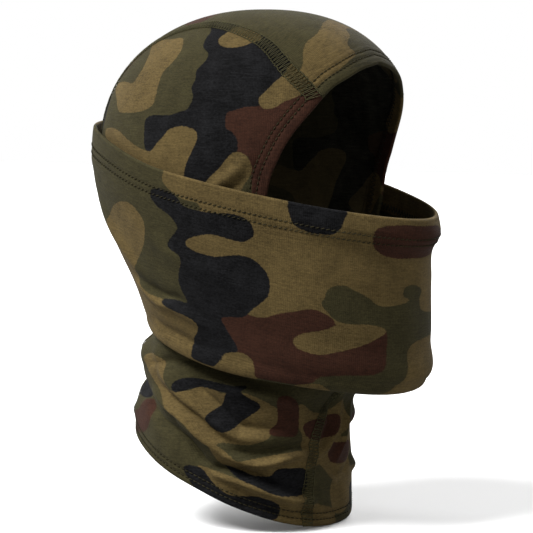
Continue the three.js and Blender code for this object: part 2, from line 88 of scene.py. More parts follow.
MM = 0.001
CLOTH_MAP = "cloth"
MAP_UNIT = 10.0  # millimetres to one unit of the cloth's UV map
COURSE_LENGTH = 500.0  # millimetres of print to one whole course of the crown panel
SLOPE_STEP = 1e-3  # how far apart the points lie that give a surface's slopes
THREAD_SIDES = 6
HALVINGS = 36  # steps of a search that halves a span of millimetres to nothing
log = logging.getLogger("face_mask")


# ---- Curves and grids ----


def along(stations: Line | Array, key: Array) -> Array:
    """Smooth curve through stations.

    Cubic between neighbours, with the slope at a station the mean of the slopes beside it, each weighed by
    the other's length, and the end slopes kept at the ends.

    Args:
        stations: (key, value) rows in rising order of key.
        key: where the curve is read; held to the ends.

    Returns:
        The value at every key.
    """
    x, y = np.array(stations, float).T
    gap = np.diff(x)
    rise = np.diff(y) / gap
    lean = np.empty(len(x))
    lean[0], lean[-1] = rise[0], rise[-1]
    lean[1:-1] = (rise[:-1] * gap[1:] + rise[1:] * gap[:-1]) / (gap[:-1] + gap[1:])
    at = np.clip(key, x[0], x[-1])
    k = np.clip(np.searchsorted(x, at, side="right") - 1, 0, len(gap) - 1)
    t = (at - x[k]) / gap[k]
    ease = t * t * (3 - 2 * t)
    bow = (1 - t) * lean[k] - t * lean[k + 1]
    return y[k] + (y[k + 1] - y[k]) * ease + gap[k] * t * (1 - t) * bow


def smooth(low: float, high: float, value: Array) -> Array:
    """Smooth step from 0 at low to 1 at high: 3t^2 - 2t^3."""
    t = np.clip((value - low) / (high - low), 0, 1)
    return t * t * (3 - 2 * t)


def paired(a: Array | float, b: Array | float) -> list[Array]:
    """Two values as arrays of numbers of one shape."""
    return np.broadcast_arrays(np.asarray(a, float), np.asarray(b, float))


def unit(v: Array) -> Array:
    """Vectors scaled to length 1."""
    return v / np.maximum(np.linalg.norm(v, axis=-1, keepdims=True), 1e-12)


def ring_reach(angle: Array, side: Array, front: Array, back: Array, power: Array | float) -> Array:
    """Reach of a superellipse ring: (|sin/side|^p + |cos/deep|^p)^(-1/p), deep being front or back."""
    across = np.abs(np.sin(angle)) / side
    deep = np.abs(np.cos(angle)) / np.where(np.cos(angle) > 0, front, back)
    return (across**power + deep**power) ** (-1 / power)


def normals_of(points: Array, closed_rows: bool = False) -> Array:
    """Outward normals of a grid of points, from the cross product of its row and column differences.

    Args:
        points: (rows, columns, 3).
        closed_rows: whether the last row runs on into the first.

    Returns:
        Unit normals; the row difference crossed with the column difference.
    """
    if closed_rows:
        down = np.roll(points, -1, 0) - np.roll(points, 1, 0)
    else:
        down = np.gradient(points, axis=0)
    return unit(np.cross(down, np.gradient(points, axis=1)))


def put_mesh(name: str, points: Array, faces: Array) -> Thing:
    """Makes a smooth object from points in millimetres and faces of equal size.

    Args:
        name: the object's name.
        points: (count, 3).
        faces: (count, corners) indices.

    Returns:
        The new object, at the origin.
    """
    mesh = bpy.data.meshes.new(name)
    mesh.vertices.add(len(points))
    mesh.vertices.foreach_set("co", (points * MM).astype(np.float32).ravel())
    mesh.loops.add(faces.size)
    mesh.loops.foreach_set("vertex_index", faces.astype(np.int32).ravel())
    mesh.polygons.add(len(faces))
    mesh.polygons.foreach_set("loop_start", np.arange(0, faces.size, faces.shape[1], dtype=np.int32))
    mesh.polygons.foreach_set("use_smooth", np.full(len(faces), True))
    mesh.update(calc_edges=True)
    mesh.validate()
    thing = bpy.data.objects.new(name, mesh)
    bpy.context.scene.collection.objects.link(thing)
    return thing


def grid_faces(rows: int, columns: int, closed_rows: bool) -> Array:
    """Quads of a grid of points, row by row, running on into the first row where the rows close."""
    i, j = np.meshgrid(np.arange(rows if closed_rows else rows - 1), np.arange(columns - 1), indexing="ij")
    low, high = i * columns, ((i + 1) % rows) * columns
    return np.stack([low + j, high + j, high + j + 1, low + j + 1], -1).reshape(-1, 4)


# ---- Outlines ----


@dataclass(frozen=True)
class HoodShape:
    """Fitted outline of the hood: a dome over a body that narrows to the neck.

    Lengths are millimetres, angles are radians round from the front, positive towards the wearer's right.
    """

    half_width: float = 76.0
    front: float = 95.0
    back: float = 94.5
    crown_top: float = 1.5
    crown_height: float = 83.5
    body_drop: float = 218.0
    crown_setback: float = 4.0
    squareness: float = 2.1
    dome_powers: tuple[float, float, float] = (2.25, 2.3, 2.2)
    width_line: Line = ((0, 1), (0.15, 0.975), (0.31, 0.885), (0.45, 0.79), (0.54, 0.77), (0.66, 0.79), (1, 0.79))
    front_line: Line = (
        (0, 1), (0.15, 0.99), (0.31, 0.94), (0.45, 0.885), (0.53, 0.82), (0.585, 0.7), (0.635, 0.59),
        (0.69, 0.56), (0.82, 0.56), (1, 0.57),
    )
    back_line: Line = (
        (0, 1), (0.1, 0.945), (0.175, 0.865), (0.245, 0.76), (0.31, 0.67), (0.38, 0.6), (0.43, 0.575),
        (0.475, 0.61), (0.53, 0.705), (0.6, 0.735), (0.75, 0.775), (1, 0.83),
    )
    centre_line: Line = ((0, 0), (0.31, 0.04), (0.54, 0.085), (1, 0.095))

    @property
    def widest(self) -> float:
        """Height of the widest ring."""
        return self.crown_top - self.crown_height

    def section(self, z: Array) -> tuple[Array, Array, Array, Array]:
        """Half sizes of the outer face at each height.

        Above the widest ring each half size is size * (1 - u**p)**(1/p), with u the share of the crown's
        height; below it each follows its own line of stations.

        Args:
            z: heights.

        Returns:
            Half width, reach to the front, reach to the back, and the ring centre's y.
        """
        u = np.clip((z - self.widest) / self.crown_height, 0, 1)
        drop = np.clip((self.widest - z) / self.body_drop, 0, None)
        up = z > self.widest
        sizes = (self.half_width, self.front, self.back)
        dome = [s * (1 - u**p) ** (1 / p) for s, p in zip(sizes, self.dome_powers)]
        middle = self.back * along(self.centre_line, drop)
        body = [
            self.half_width * along(self.width_line, drop),
            self.front * along(self.front_line, drop) + middle,
            self.back * along(self.back_line, drop) - middle,
        ]
        side, front, back = (np.where(up, d, b) for d, b in zip(dome, body))
        return side, front, back, np.where(up, -self.crown_setback * u * u, middle)

    def at_height(self, angle: Array, z: Array) -> Array:
        """Points of the outer face at an angle and a height: a superellipse ring per height."""
        angle, z = paired(angle, z)
        side, front, back, centre = self.section(z)
        reach = ring_reach(angle, side, front, back, self.squareness)
        return np.stack([-reach * np.sin(angle), centre - reach * np.cos(angle), z], -1)

    def wall_of(self, z: Array) -> Array:
        """Height measured along the wall, which stays even over the dome."""
        share = np.clip((z - self.widest) / self.crown_height, 0, 1)
        return np.where(z <= self.widest, z - self.widest, self.crown_height * np.arcsin(share))

    def height_of(self, wall: Array) -> Array:
        """Height above the origin of a place along the wall."""
        up = self.crown_height * np.sin(np.clip(wall / self.crown_height, 0, math.pi / 2))
        return self.widest + np.where(wall <= 0, wall, up)

    def at(self, angle: Array, wall: Array) -> Array:
        """Points of the outer face at an angle and a place along the wall."""
        return self.at_height(angle, self.height_of(np.asarray(wall, float)))

    def holds(self, x: Array, y: Array, z: Array) -> Array:
        """Whether points lie inside the outer face."""
        side, front, back, centre = self.section(np.minimum(z, self.crown_top - 1e-6))
        deep = np.abs(y - centre) / np.where(y < centre, front, back)
        inside = (np.abs(x) / side) ** self.squareness + deep**self.squareness < 1
        return inside & (z < self.crown_top)

    def reached(self, ray: Callable[[Array], Array], shape: tuple[int, ...]) -> Array:
        """How far along rays the outer face lies, by halving; ray gives the points at distances."""
        near, far = np.zeros(shape), np.full(shape, 2 * self.front)
        for _ in range(HALVINGS):
            r = (near + far) / 2
            inside = self.holds(*np.moveaxis(ray(r), -1, 0))
            near, far = np.where(inside, r, near), np.where(inside, far, r)
        return near


@dataclass(frozen=True)
class FaceOpening:
    """Edge of the face opening and the lines, here tracks, that run beside it over the cloth.

    The outline is (degrees, level) from the brow to the chin, a level being a share of the crown's height
    above the widest ring and of the body's drop below it; middle is the level of the opening's middle.
    """

    hood: HoodShape
    outline: Line = (
        (0, 0.635), (11.5, 0.6), (21.5, 0.535), (29.5, 0.461), (37.6, 0.321), (44.9, 0.169), (49.4, 0.031),
        (52.6, -0.046), (53.8, -0.117), (54.5, -0.2), (53, -0.28), (47, -0.36), (35, -0.425), (18, -0.453),
        (0, -0.46),
    )
    middle: float = 0.12
    half_steps: int = 60
    track_gap: float = 3.0
    tracks: int = 7

    def edge(self) -> Array:
        """Right half of the edge as rows of (angle, wall), from the brow to the chin."""
        degrees, level = np.array(self.outline, float).T
        z = self.hood.widest + level * np.where(level > 0, self.hood.crown_height, self.hood.body_drop)
        stations = np.arange(len(level), dtype=float)
        t = np.linspace(0, len(level) - 1, self.half_steps + 1)
        angle = along(np.stack([stations, np.radians(degrees)], 1), t)
        return np.stack([angle, along(np.stack([stations, self.hood.wall_of(z)], 1), t)], 1)

    def beside(self, edge: Array) -> Array:
        """Moves a line one track outwards over the cloth, at right angles to itself."""
        mirror = np.array([-1.0, 1.0])
        before = np.vstack([edge[1] * mirror, edge[:-1]])
        after = np.vstack([edge[1:], edge[-2] * mirror])
        a, w, d = edge[:, 0], edge[:, 1], SLOPE_STEP
        per_a = (self.hood.at(a + d, w) - self.hood.at(a - d, w)) / (2 * d)
        per_w = (self.hood.at(a, w + d) - self.hood.at(a, w - d)) / (2 * d)
        run = per_a * (after - before)[:, :1] + per_w * (after - before)[:, 1:]
        across = unit(np.cross(np.cross(per_a, per_w), run))
        middle = self.hood.at_height(0.0, self.hood.widest - self.middle * self.hood.body_drop)
        wrong = (across * (self.hood.at(a, w) - middle)).sum(1) < 0
        wrong[0], wrong[-1] = across[0, 2] < 0, across[-1, 2] > 0
        across[wrong] *= -1
        aa, ab, bb = (per_a**2).sum(1), (per_a * per_w).sum(1), (per_w**2).sum(1)
        pa, pb = (across * per_a).sum(1) * self.track_gap, (across * per_w).sum(1) * self.track_gap
        det = aa * bb - ab * ab
        return edge + np.stack([(pa * bb - pb * ab) / det, (pb * aa - pa * ab) / det], 1)

    @cached_property
    def table(self) -> Array:
        """Every track as one array (track, step, (angle, wall))."""
        rows = [self.edge()]
        for _ in range(self.tracks):
            rows.append(self.beside(rows[-1]))
        return np.array(rows)

    def place(self, q: Array, distance: Array) -> tuple[Array, Array]:
        """Angle and wall beside the opening.

        Args:
            q: 0 at the brow, 1 at the chin by the wearer's right, on to 2 at the brow by the left.
            distance: how far out from the folded edge.

        Returns:
            Angle and wall, linear between the steps and tracks of the table.
        """
        q, distance = paired(q, distance)
        around = np.where(q > 1, q - 2, q)
        at = np.clip(np.abs(around), 0, 1) * self.half_steps
        i = np.minimum(self.half_steps - 1, np.floor(at).astype(int))
        k = np.clip(np.floor(distance / self.track_gap).astype(int), 0, self.tracks - 1)
        f, g = (at - i)[..., None], (distance / self.track_gap - k)[..., None]
        t = self.table
        low = t[k, i] * (1 - f) + t[k, i + 1] * f
        high = t[k + 1, i] * (1 - f) + t[k + 1, i + 1] * f
        got = low * (1 - g) + high * g
        return np.where(around < 0, -1, 1) * got[..., 0], got[..., 1]

    def at(self, q: Array, distance: Array) -> Array:
        """Points beside the opening."""
        return self.hood.at(*self.place(q, distance))


@dataclass(frozen=True)
class NeckEnd:
    """Folded lower edge of the hood and the throat seam that runs down to it."""

    hood: HoodShape
    level: float = -268.0
    slope: float = 0.42
    hem_width: float = 10.0
    gap: float = 0.6
    throat: Line = ((-1, 23), (-0.85, 22), (-0.75, 18), (-0.62, 9), (-0.52, 0))

    def hem_z(self, angle: Array, above: Array | float) -> Array:
        """Height of a line that runs level with the edge: level + slope * y + above, settled in 12 rounds."""
        z = np.full(np.shape(angle), self.level)
        for _ in range(12):
            z = self.level + self.slope * self.hood.at_height(angle, z)[..., 1] + above
        return z

    def at(self, angle: Array, above: Array | float) -> Array:
        """Points beside the folded edge."""
        return self.hood.at_height(angle, self.hem_z(angle, above))

    def throat_angle(self, z: Array) -> Array:
        """Angle of the throat seam at a height."""
        drop = (np.asarray(z, float) - self.hood.widest) / self.hood.body_drop
        return np.radians(along(self.throat, drop))


@dataclass(frozen=True)
class CrownSeam:
    """Seam between the crown panel and a side panel, and the map of the crown they share.

    A course runs 0 to 0.5 over the head from the front to the back, then 0.5 to 1 down to the neck hem.
    """

    hood: HoodShape
    neck: NeckEnd
    over: Line = ((20, 45), (27, 46.5), (42, 49), (62, 45), (79, 41), (94, 36.5), (108, 35), (150, 34), (180, 33))
    down: Line = ((0, 33), (0.5, 27), (1, 22))
    nape_share: float = 0.79

    def half_width(self, course: Array) -> Array:
        """Distance of the seam from the middle."""
        course = np.asarray(course, float)
        return np.where(course < 0.5, along(self.over, course * 360), along(self.down, (course - 0.5) * 2))

    def course_of(self, points: Array) -> Array:
        """Course of points over the head, from the ray that they lie on."""
        return np.arctan2(points[..., 2] - self.hood.widest, -points[..., 1]) / math.pi / 2

    def at(self, x: Array, course: Array) -> Array:
        """Points of the outer face at a sideways place: rays over the head, then level rays behind it."""
        x, course = paired(x, course)
        over = np.clip(course * 2, 0, 1) * math.pi
        down = np.clip(course * 2 - 1, 0, None)
        behind = math.pi - np.arcsin(np.clip(np.abs(x) / (self.nape_share * self.hood.half_width), 0, 1))
        foot = self.neck.hem_z(behind, self.neck.hem_width + self.neck.gap)
        z0 = self.hood.widest - down * (self.hood.widest - foot)
        dy = np.where(down > 0, 1.0, -np.cos(over))
        dz = np.where(down > 0, 0.0, np.sin(over))

        def ray(r: Array) -> Array:
            """Points at a distance along each ray."""
            return np.stack([x, dy * r, z0 + dz * r], -1)

        return ray(self.hood.reached(ray, x.shape))

    def line(self, course: Array, beside: Array | float = 0.0) -> Array:
        """Points of the right-hand seam line, moved sideways over the side panel."""
        return self.at(-self.half_width(course) - beside, course)

    def crossing(self, opening: FaceOpening, distance: float) -> tuple[float, float]:
        """Where the seam meets a line beside the opening, as (q, course)."""
        low, high, course = 0.05, 0.6, 0.0
        for _ in range(HALVINGS):
            q = (low + high) / 2
            p = opening.at(q, distance)
            course = float(self.course_of(p))
            if -p[0] < float(self.half_width(max(0.02, course))):
                low = q
            else:
                high = q
        return low, course


@dataclass(frozen=True)
class CoverShape:
    """Loose tube round the lower face, joined to the hood under its lower fold."""

    hood: HoodShape
    slope: float = 0.22
    centre: float = 1.0
    top: float = -90.0
    join: float = -182.0
    roll_start: float = -184.0
    fold: float = -191.0
    nape_rise: float = 7.0
    ease_side: Line = ((8, 5.2), (25, 5.6), (46, 6.2), (81, 7.4), (102, 6.8), (109, 4.8))
    ease_front: Line = ((8, 17.7), (19, 20), (28, 16), (46, 17), (81, 21.5), (102, 28.5), (109, 25))
    ease_back: Line = ((8, 5.2), (25, 5.2), (46, 5.6), (76, 6.8), (102, 6.8), (109, 5.8))
    nose_point: Line = ((8, 1.82), (30, 1.88), (48, 1.95), (78, 2.1), (109, 2.1))

    def lift(self, angle: Array, reach: Array, level: Array) -> Array:
        """Points at a reach on a level of the sloping plane: z = level + slope * y, pulled up at the nape."""
        x, y = -reach * np.sin(angle), self.centre - reach * np.cos(angle)
        pulled = self.nape_rise * smooth(0.15, 0.95, -np.cos(angle)) * smooth(-150, -95, level)
        return np.stack([x, y, level + self.slope * y + pulled], -1)

    def hood_reach(self, angle: Array, level: Array) -> Array:
        """Reach of the hood's own face on that plane."""
        angle, level = paired(angle, level)
        return self.hood.reached(lambda r: self.lift(angle, r, level), angle.shape)

    def reach(self, angle: Array, level: Array) -> Array:
        """Reach of the cover's outer face: the hood's half sizes on the plane, each with its ease."""
        angle, level = paired(angle, level)
        key = self.hood.widest - level
        side, front, back = (
            self.hood_reach(np.full(level.shape, turn), level) + along(ease, key)
            for turn, ease in ((math.pi / 2, self.ease_side), (0.0, self.ease_front), (math.pi, self.ease_back))
        )
        power = np.where(np.cos(angle) > 0, along(self.nose_point, key), self.hood.squareness)
        return ring_reach(angle, side, front, back, power)

    def at(self, angle: Array, level: Array) -> Array:
        """Points of the cover's outer face."""
        angle, level = paired(angle, level)
        return self.lift(angle, self.reach(angle, level), level)


# ---- Printed pattern ----


class Ink(Enum):
    """Colours of the print in the order in which they cover each other."""

    GREEN = "ink_green"
    SAND = "ink_sand"
    BROWN = "ink_brown"
    BLACK = "ink_black"
    SAND_OVER = "ink_sand_over"

    @property
    def dye(self) -> str:
        """Name of its dye, one of DYE_NAMES."""
        return self.value.split("_")[1].capitalize()


@dataclass(frozen=True)
class Blob:
    """One printed shape: its ink and the corners that its rounded outline runs through."""

    ink: Ink
    outline: Line

    def moved(self, flip: tuple[float, float], shift: tuple[float, float]) -> Blob:
        """A copy scaled by flip, then moved by shift."""
        return Blob(self.ink, tuple((x * flip[0] + shift[0], y * flip[1] + shift[1]) for x, y in self.outline))


def pebble(ink: Ink, centre: tuple[float, float], size: tuple[float, float], turn: float, seed: int) -> Blob:
    """A rounded shape: an ellipse whose reach swells and shrinks by two sine waves.

    Args:
        ink: its colour.
        centre: its middle on the cloth.
        size: its half sizes.
        turn: how far it is turned, in degrees.
        seed: the phase of its waves.

    Returns:
        The blob.
    """
    around = np.linspace(0, 2 * math.pi, 14, endpoint=False)
    swell = 1 + 0.2 * np.sin(2 * around + seed) + 0.16 * np.sin(3 * around + 2.3 * seed)
    x, y = size[0] * swell * np.cos(around), size[1] * swell * np.sin(around)
    c, s = math.cos(math.radians(turn)), math.sin(math.radians(turn))
    return Blob(ink, tuple((centre[0] + c * a - s * b, centre[1] + s * a + c * b) for a, b in zip(x, y)))


@dataclass(frozen=True)
class Print:
    """The print of one cut of cloth, in that cloth's own two coordinates.

    Args:
        blobs: the printed shapes.
        stretch: millimetres to one unit of each coordinate.
        ground: whether the ground is green, and sand otherwise.
    """

    blobs: tuple[Blob, ...]
    stretch: tuple[float, float] = (1.0, 1.0)
    ground: bool = True
    rounding: int = 4
    reach: float = 6.0

    def outline(self, blob: Blob) -> Array:
        """The rounded outline: a closed spline through the corners with slopes from the corner before to
        the corner after, cut into short straight runs."""
        p = np.array(blob.outline, float) * self.stretch
        before, after, later = np.roll(p, 1, 0), np.roll(p, -1, 0), np.roll(p, -2, 0)
        t = (np.arange(self.rounding) / self.rounding)[None, :, None]
        curve = 2 * p[:, None] + (after - before)[:, None] * t
        curve = curve + (2 * before - 5 * p + 4 * after - later)[:, None] * t**2
        curve = curve + (3 * p - before - 3 * after + later)[:, None] * t**3
        return curve.reshape(-1, 2) / 2

    def inside(self, blob: Blob, at: Array) -> Array:
        """How far points lie inside a blob, negative outside: the distance to the nearest run of the
        outline, with the sign from how many runs a level ray crosses."""
        a = self.outline(blob)
        b = np.roll(a, -1, 0)
        run = b - a
        rel = at[:, None] - a
        t = np.clip((rel * run).sum(-1) / np.maximum((run**2).sum(-1), 1e-9), 0, 1)
        near = np.sqrt(((rel - t[..., None] * run) ** 2).sum(-1).min(1))
        spans = (a[:, 1] > at[:, 1:]) != (b[:, 1] > at[:, 1:])
        rise = np.where(np.abs(run[:, 1]) < 1e-9, 1e-9, run[:, 1])
        crossed = spans & (at[:, :1] < a[:, 0] + run[:, 0] * (at[:, 1:] - a[:, 1]) / rise)
        return np.where(crossed.sum(1) % 2 == 1, near, -near)

    def stamp(self, thing: Thing, u: Array, v: Array) -> None:
        """Stores, for each ink, how far every vertex lies inside it, as float attributes.

        Args:
            thing: the cloth.
            u: first coordinate of every vertex.
            v: second coordinate of every vertex.
        """
        at = np.stack([u.ravel(), v.ravel()], 1) * self.stretch
        for ink in Ink:
            depth = np.full(len(at), self.reach if ink is Ink.GREEN and self.ground else -self.reach)
            for blob in (b for b in self.blobs if b.ink is ink):
                box = np.array(blob.outline, float) * self.stretch
                close = ((at > box.min(0) - self.reach) & (at < box.max(0) + self.reach)).all(1)
                if close.any():
                    depth[close] = np.maximum(depth[close], self.inside(blob, at[close]))
            layer = thing.data.attributes.new(ink.value, "FLOAT", "POINT")
            layer.data.foreach_set("value", depth.astype(np.float32))


def blobs(ink: Ink, *outlines: tuple[float, ...]) -> tuple[Blob, ...]:
    """Several blobs of one ink, each outline a flat row of x, y, x, y and so on."""
    return tuple(Blob(ink, tuple(zip(flat[::2], flat[1::2]))) for flat in outlines)


HOOD_PRINT = (
    *blobs(
        Ink.SAND,
        (148, 42, 138, 44, 129, 43, 127, 47, 127, 55, 132, 65, 142, 74, 124, 76, 116, 77, 111, 74, 107, 67,
         107, 59, 110, 52, 110, 44, 109, 35, 110, 30, 116, 27, 126, 26, 132, 27, 138, 34),
        (143, 14, 135, 16, 128, 14, 122, 10, 115, 6, 109, 4, 106, 6, 103, 10, 100, 14, 97, 18, 92, 19, 87, 19,
         84, 16, 83, 12, 85, 6, 87, -1, 89, -11, 91, -20, 105, -21, 111, -9, 123, -3, 134, 6),
        (129, -115, 121, -112, 112, -114, 107, -118, 104, -124, 99, -130, 89, -130, 84, -127, 78, -126,
         71, -130, 65, -130, 56, -130, 45, -136, 40, -140, 40, -147, 42, -150, 46, -155, 56, -158, 69, -157,
         74, -159, 81, -155, 88, -147, 99, -141, 108, -132, 119, -124),
        (31, -139, 28, -137, 21, -142, 12, -144, 4, -142, 0, -137, -10, -150, -4, -159, 8, -169, 23, -174,
         25, -166, 25, -155, 29, -148),
        (74, -159, 70, -160, 64, -165, 60, -168, 52, -167, 41, -165, 25, -164, 25, -172, 34, -172, 43, -176,
         52, -177, 59, -175, 64, -171, 71, -168),
        (83, -172, 74, -174, 63, -177, 49, -182, 33, -188, 26, -188, 25, -191, 35, -193, 44, -191, 52, -188,
         63, -187, 71, -184, 76, -179),
        (39, -193, 33, -193, 17, -195, 14, -197, 15, -209, 26, -211, 41, -209, 49, -204, 40, -200, 38, -197),
        (4, -186, -5, -181, -13, -183, -15, -198, -4, -203, 3, -199),
    ),
    *blobs(
        Ink.BROWN,
        (71, 26, 68, 29, 57, 30, 52, 29, 48, 33, 43, 35, 36, 41, 30, 39, 38, 24, 43, 13, 47, 2, 49, -10,
         50, -19, 58, -19, 59, -11, 60, -2, 61, 3, 65, 5, 66, 7, 67, 12, 70, 17),
        (41, -132, 35, -132, 30, -139, 29, -153, 36, -154, 44, -152, 40, -147, 40, -140),
        (25, -150, 19, -147, 10, -147, 1, -146, 1, -155, 10, -158, 20, -157),
    ),
    *blobs(
        Ink.BLACK,
        (97, 87, 94, 77, 92, 70, 86, 64, 86, 58, 89, 52, 88, 46, 89, 41, 87, 35, 89, 28, 93, 26, 99, 24,
         107, 24, 111, 22, 111, 16, 110, 6, 107, 5, 104, 9, 100, 14, 98, 17, 92, 19, 86, 18, 83, 15, 83, 10,
         85, 5, 88, -3, 89, -11, 90, -20, 80, -20, 76, -10, 72, -4, 68, 0, 66, 5, 66, 11, 68, 15, 71, 18,
         71, 26, 68, 28, 63, 30, 57, 31, 56, 35, 53, 41, 48, 49, 45, 55, 39, 63, 50, 88, 81, 108, 123, 106),
        (67, -131, 69, -136, 76, -142, 77, -146, 73, -150, 68, -151, 63, -149, 59, -145, 51, -139, 50, -136,
         56, -132, 62, -128),
        (97, -127, 95, -124, 88, -123, 78, -124, 63, -126, 57, -126, 63, -129, 73, -128, 84, -127, 94, -130),
        (68, -171, 60, -174, 52, -177, 44, -177, 40, -173, 33, -173, 24, -175, 24, -186, 29, -188, 41, -186,
         49, -182, 61, -176),
        (91, -174, 82, -173, 76, -179, 71, -184, 63, -188, 51, -188, 41, -192, 39, -196, 41, -200, 46, -201,
         56, -204, 67, -201, 78, -191),
    ),
    *blobs(
        Ink.SAND_OVER,
        (76, 88, 82, 80, 84, 76, 81, 71, 75, 69, 68, 70, 63, 73, 58, 76, 62, 86),
        (45, 54, 40, 59, 37, 53, 36, 46, 40, 39, 43, 36, 48, 33, 51, 30, 54, 29, 56, 30, 57, 34, 54, 39, 50, 45,
         46, 50),
        (64, 4, 61, 0, 60, -6, 63, -13, 65, -19, 71, -21, 79, -15, 77, -10, 73, -5, 68, 3),
    ),
    pebble(Ink.BROWN, (160, 70), (16, 20), 30, 1),
    pebble(Ink.BLACK, (166, 22), (13, 26), 15, 2),
    pebble(Ink.BROWN, (150, -28), (20, 17), -20, 3),
    pebble(Ink.BLACK, (118, -52), (24, 20), 25, 4),
    pebble(Ink.SAND, (158, -78), (18, 22), 40, 5),
    pebble(Ink.SAND, (84, -64), (20, 24), -15, 6),
    pebble(Ink.BROWN, (60, -92), (16, 14), 10, 7),
    pebble(Ink.BLACK, (150, -128), (20, 11), 20, 8),
    pebble(Ink.BROWN, (132, -150), (15, 9), -10, 9),
    pebble(Ink.SAND, (163, -170), (14, 12), 0, 10),
)

CROWN_PRINT = (
    *blobs(
        Ink.SAND,
        (4, 81, 6, 77, 8, 73, 10, 69, 9, 72, 0, 71, -6, 65, -14, 61, -17, 57, -16, 53, -22, 51, -31, 48,
         -38, 46, -44, 44, -52, 40, -54, 47, -49, 54, -45, 58, -41, 64, -36, 68, -28, 70, -20, 73, -9, 78),
    ),
    pebble(Ink.BROWN, (-4, 150), (24, 15), 10, 2),
    pebble(Ink.SAND, (32, 62), (14, 18), 10, 3),
    pebble(Ink.BLACK, (34, 116), (20, 24), -20, 4),
    pebble(Ink.BLACK, (-6, 214), (30, 24), 35, 5),
    pebble(Ink.SAND, (22, 262), (18, 26), 15, 6),
    pebble(Ink.BROWN, (-18, 306), (20, 24), -25, 7),
    pebble(Ink.BLACK, (16, 352), (18, 28), 20, 8),
    pebble(Ink.SAND, (-14, 398), (18, 22), 35, 9),
    pebble(Ink.BROWN, (12, 440), (16, 18), 0, 10),
    pebble(Ink.SAND_OVER, (20, 344), (8, 11), 0, 11),
    pebble(Ink.BLACK, (-10, 482), (18, 14), 10, 12),
)

COVER_BLOBS = (
    *blobs(
        Ink.GREEN,
        (150, -84, 117, -80, 98, -84, 97, -96, 92, -101, 87, -103, 80, -104, 86, -119, 89, -135, 92, -146,
         91, -155, 89, -161, 92, -165, 107, -165, 119, -163, 133, -154, 137, -142, 152, -126, 160, -104),
        (34, -139, 33, -134, 29, -131, 25, -133, 21, -136, 17, -140, 11, -139, 6, -137, 5, -135, 8, -133,
         7, -129, 3, -128, -1, -131, 0, -135, 0, -137, -2, -143, -14, -148, -14, -157, -4, -158, 3, -160,
         6, -165, 7, -174, 9, -181, 13, -186, 20, -192, 24, -198, 30, -198, 35, -190, 39, -188, 29, -180,
         18, -176, 15, -171, 15, -153, 22, -151, 30, -150, 33, -146, 35, -142),
        (60, -196, 58, -189, 49, -189, 41, -189, 36, -186, 34, -197, 49, -201),
    ),
    *blobs(
        Ink.SAND,
        (118, -117, 112, -118, 108, -123, 108, -130, 112, -139, 117, -147, 120, -155, 119, -161, 111, -164,
         102, -165, 108, -172, 120, -168, 131, -160, 135, -148, 138, -140, 133, -130, 126, -122),
        (101, -169, 97, -167, 89, -168, 85, -171, 85, -177, 89, -184, 89, -190, 83, -191, 79, -191, 73, -183,
         67, -179, 62, -180, 58, -184, 57, -190, 60, -198, 73, -202, 96, -200, 114, -192, 117, -184, 116, -177,
         108, -172),
    ),
    *blobs(
        Ink.BROWN,
        (74, -161, 65, -157, 59, -158, 54, -157, 49, -153, 44, -150, 39, -147, 36, -147, 32, -150, 31, -153,
         29, -154, 22, -152, 15, -153, 15, -170, 18, -176, 23, -178, 29, -180, 36, -184, 41, -189, 49, -190,
         57, -190, 58, -184, 62, -180, 66, -180, 68, -176, 71, -170),
        (20, -104, 20, -99, 18, -96, 12, -94, 5, -94, -6, -95, -12, -103, -10, -111, 6, -112, 13, -112,
         18, -109),
    ),
    *blobs(
        Ink.BLACK,
        (103, -105, 99, -101, 91, -102, 88, -106, 83, -107, 74, -106, 67, -104, 61, -105, 59, -109, 59, -113,
         63, -117, 68, -117, 75, -117, 83, -121, 87, -125, 87, -128, 83, -130, 74, -130, 65, -126, 59, -126,
         55, -130, 53, -135, 53, -142, 55, -147, 59, -153, 63, -159, 69, -161, 73, -164, 70, -171, 67, -176,
         66, -180, 70, -182, 75, -185, 79, -190, 83, -191, 89, -190, 90, -187, 88, -181, 85, -176, 84, -171,
         88, -168, 94, -167, 100, -166, 103, -164, 96, -162, 89, -161, 91, -154, 92, -149, 91, -144, 89, -138,
         90, -134, 94, -132, 95, -129, 91, -122, 90, -118, 94, -113, 100, -110),
        (45, -88, 45, -100, 42, -103, 38, -104, 33, -103, 31, -100, 30, -96, 29, -86),
    ),
    *blobs(
        Ink.SAND_OVER,
        (43, -164, 39, -160, 34, -157, 30, -153, 23, -151, 18, -151, 15, -153, 18, -157, 23, -162, 30, -167,
         35, -170, 40, -170, 43, -168),
        (41, -195, 41, -190, 39, -188, 35, -186, 32, -188, 30, -192, 32, -197),
    ),
)

COVER_PRINT = (
    *COVER_BLOBS,
    *(blob.moved((1, -1), (-176, -281)) for blob in COVER_BLOBS),
    pebble(Ink.BROWN, (-174, -164), (12, 18), 10, 3),
    pebble(Ink.BLACK, (-28, -172), (12, 12), 20, 4),
    pebble(Ink.GREEN, (-46, -112), (16, 16), 0, 5),
    pebble(Ink.BROWN, (60, -214), (18, 8), 0, 6),
    pebble(Ink.BLACK, (-60, -212), (20, 9), 0, 7),
    pebble(Ink.GREEN, (0, -216), (16, 9), 0, 8),
)


# ---- Folds of the worn cloth ----


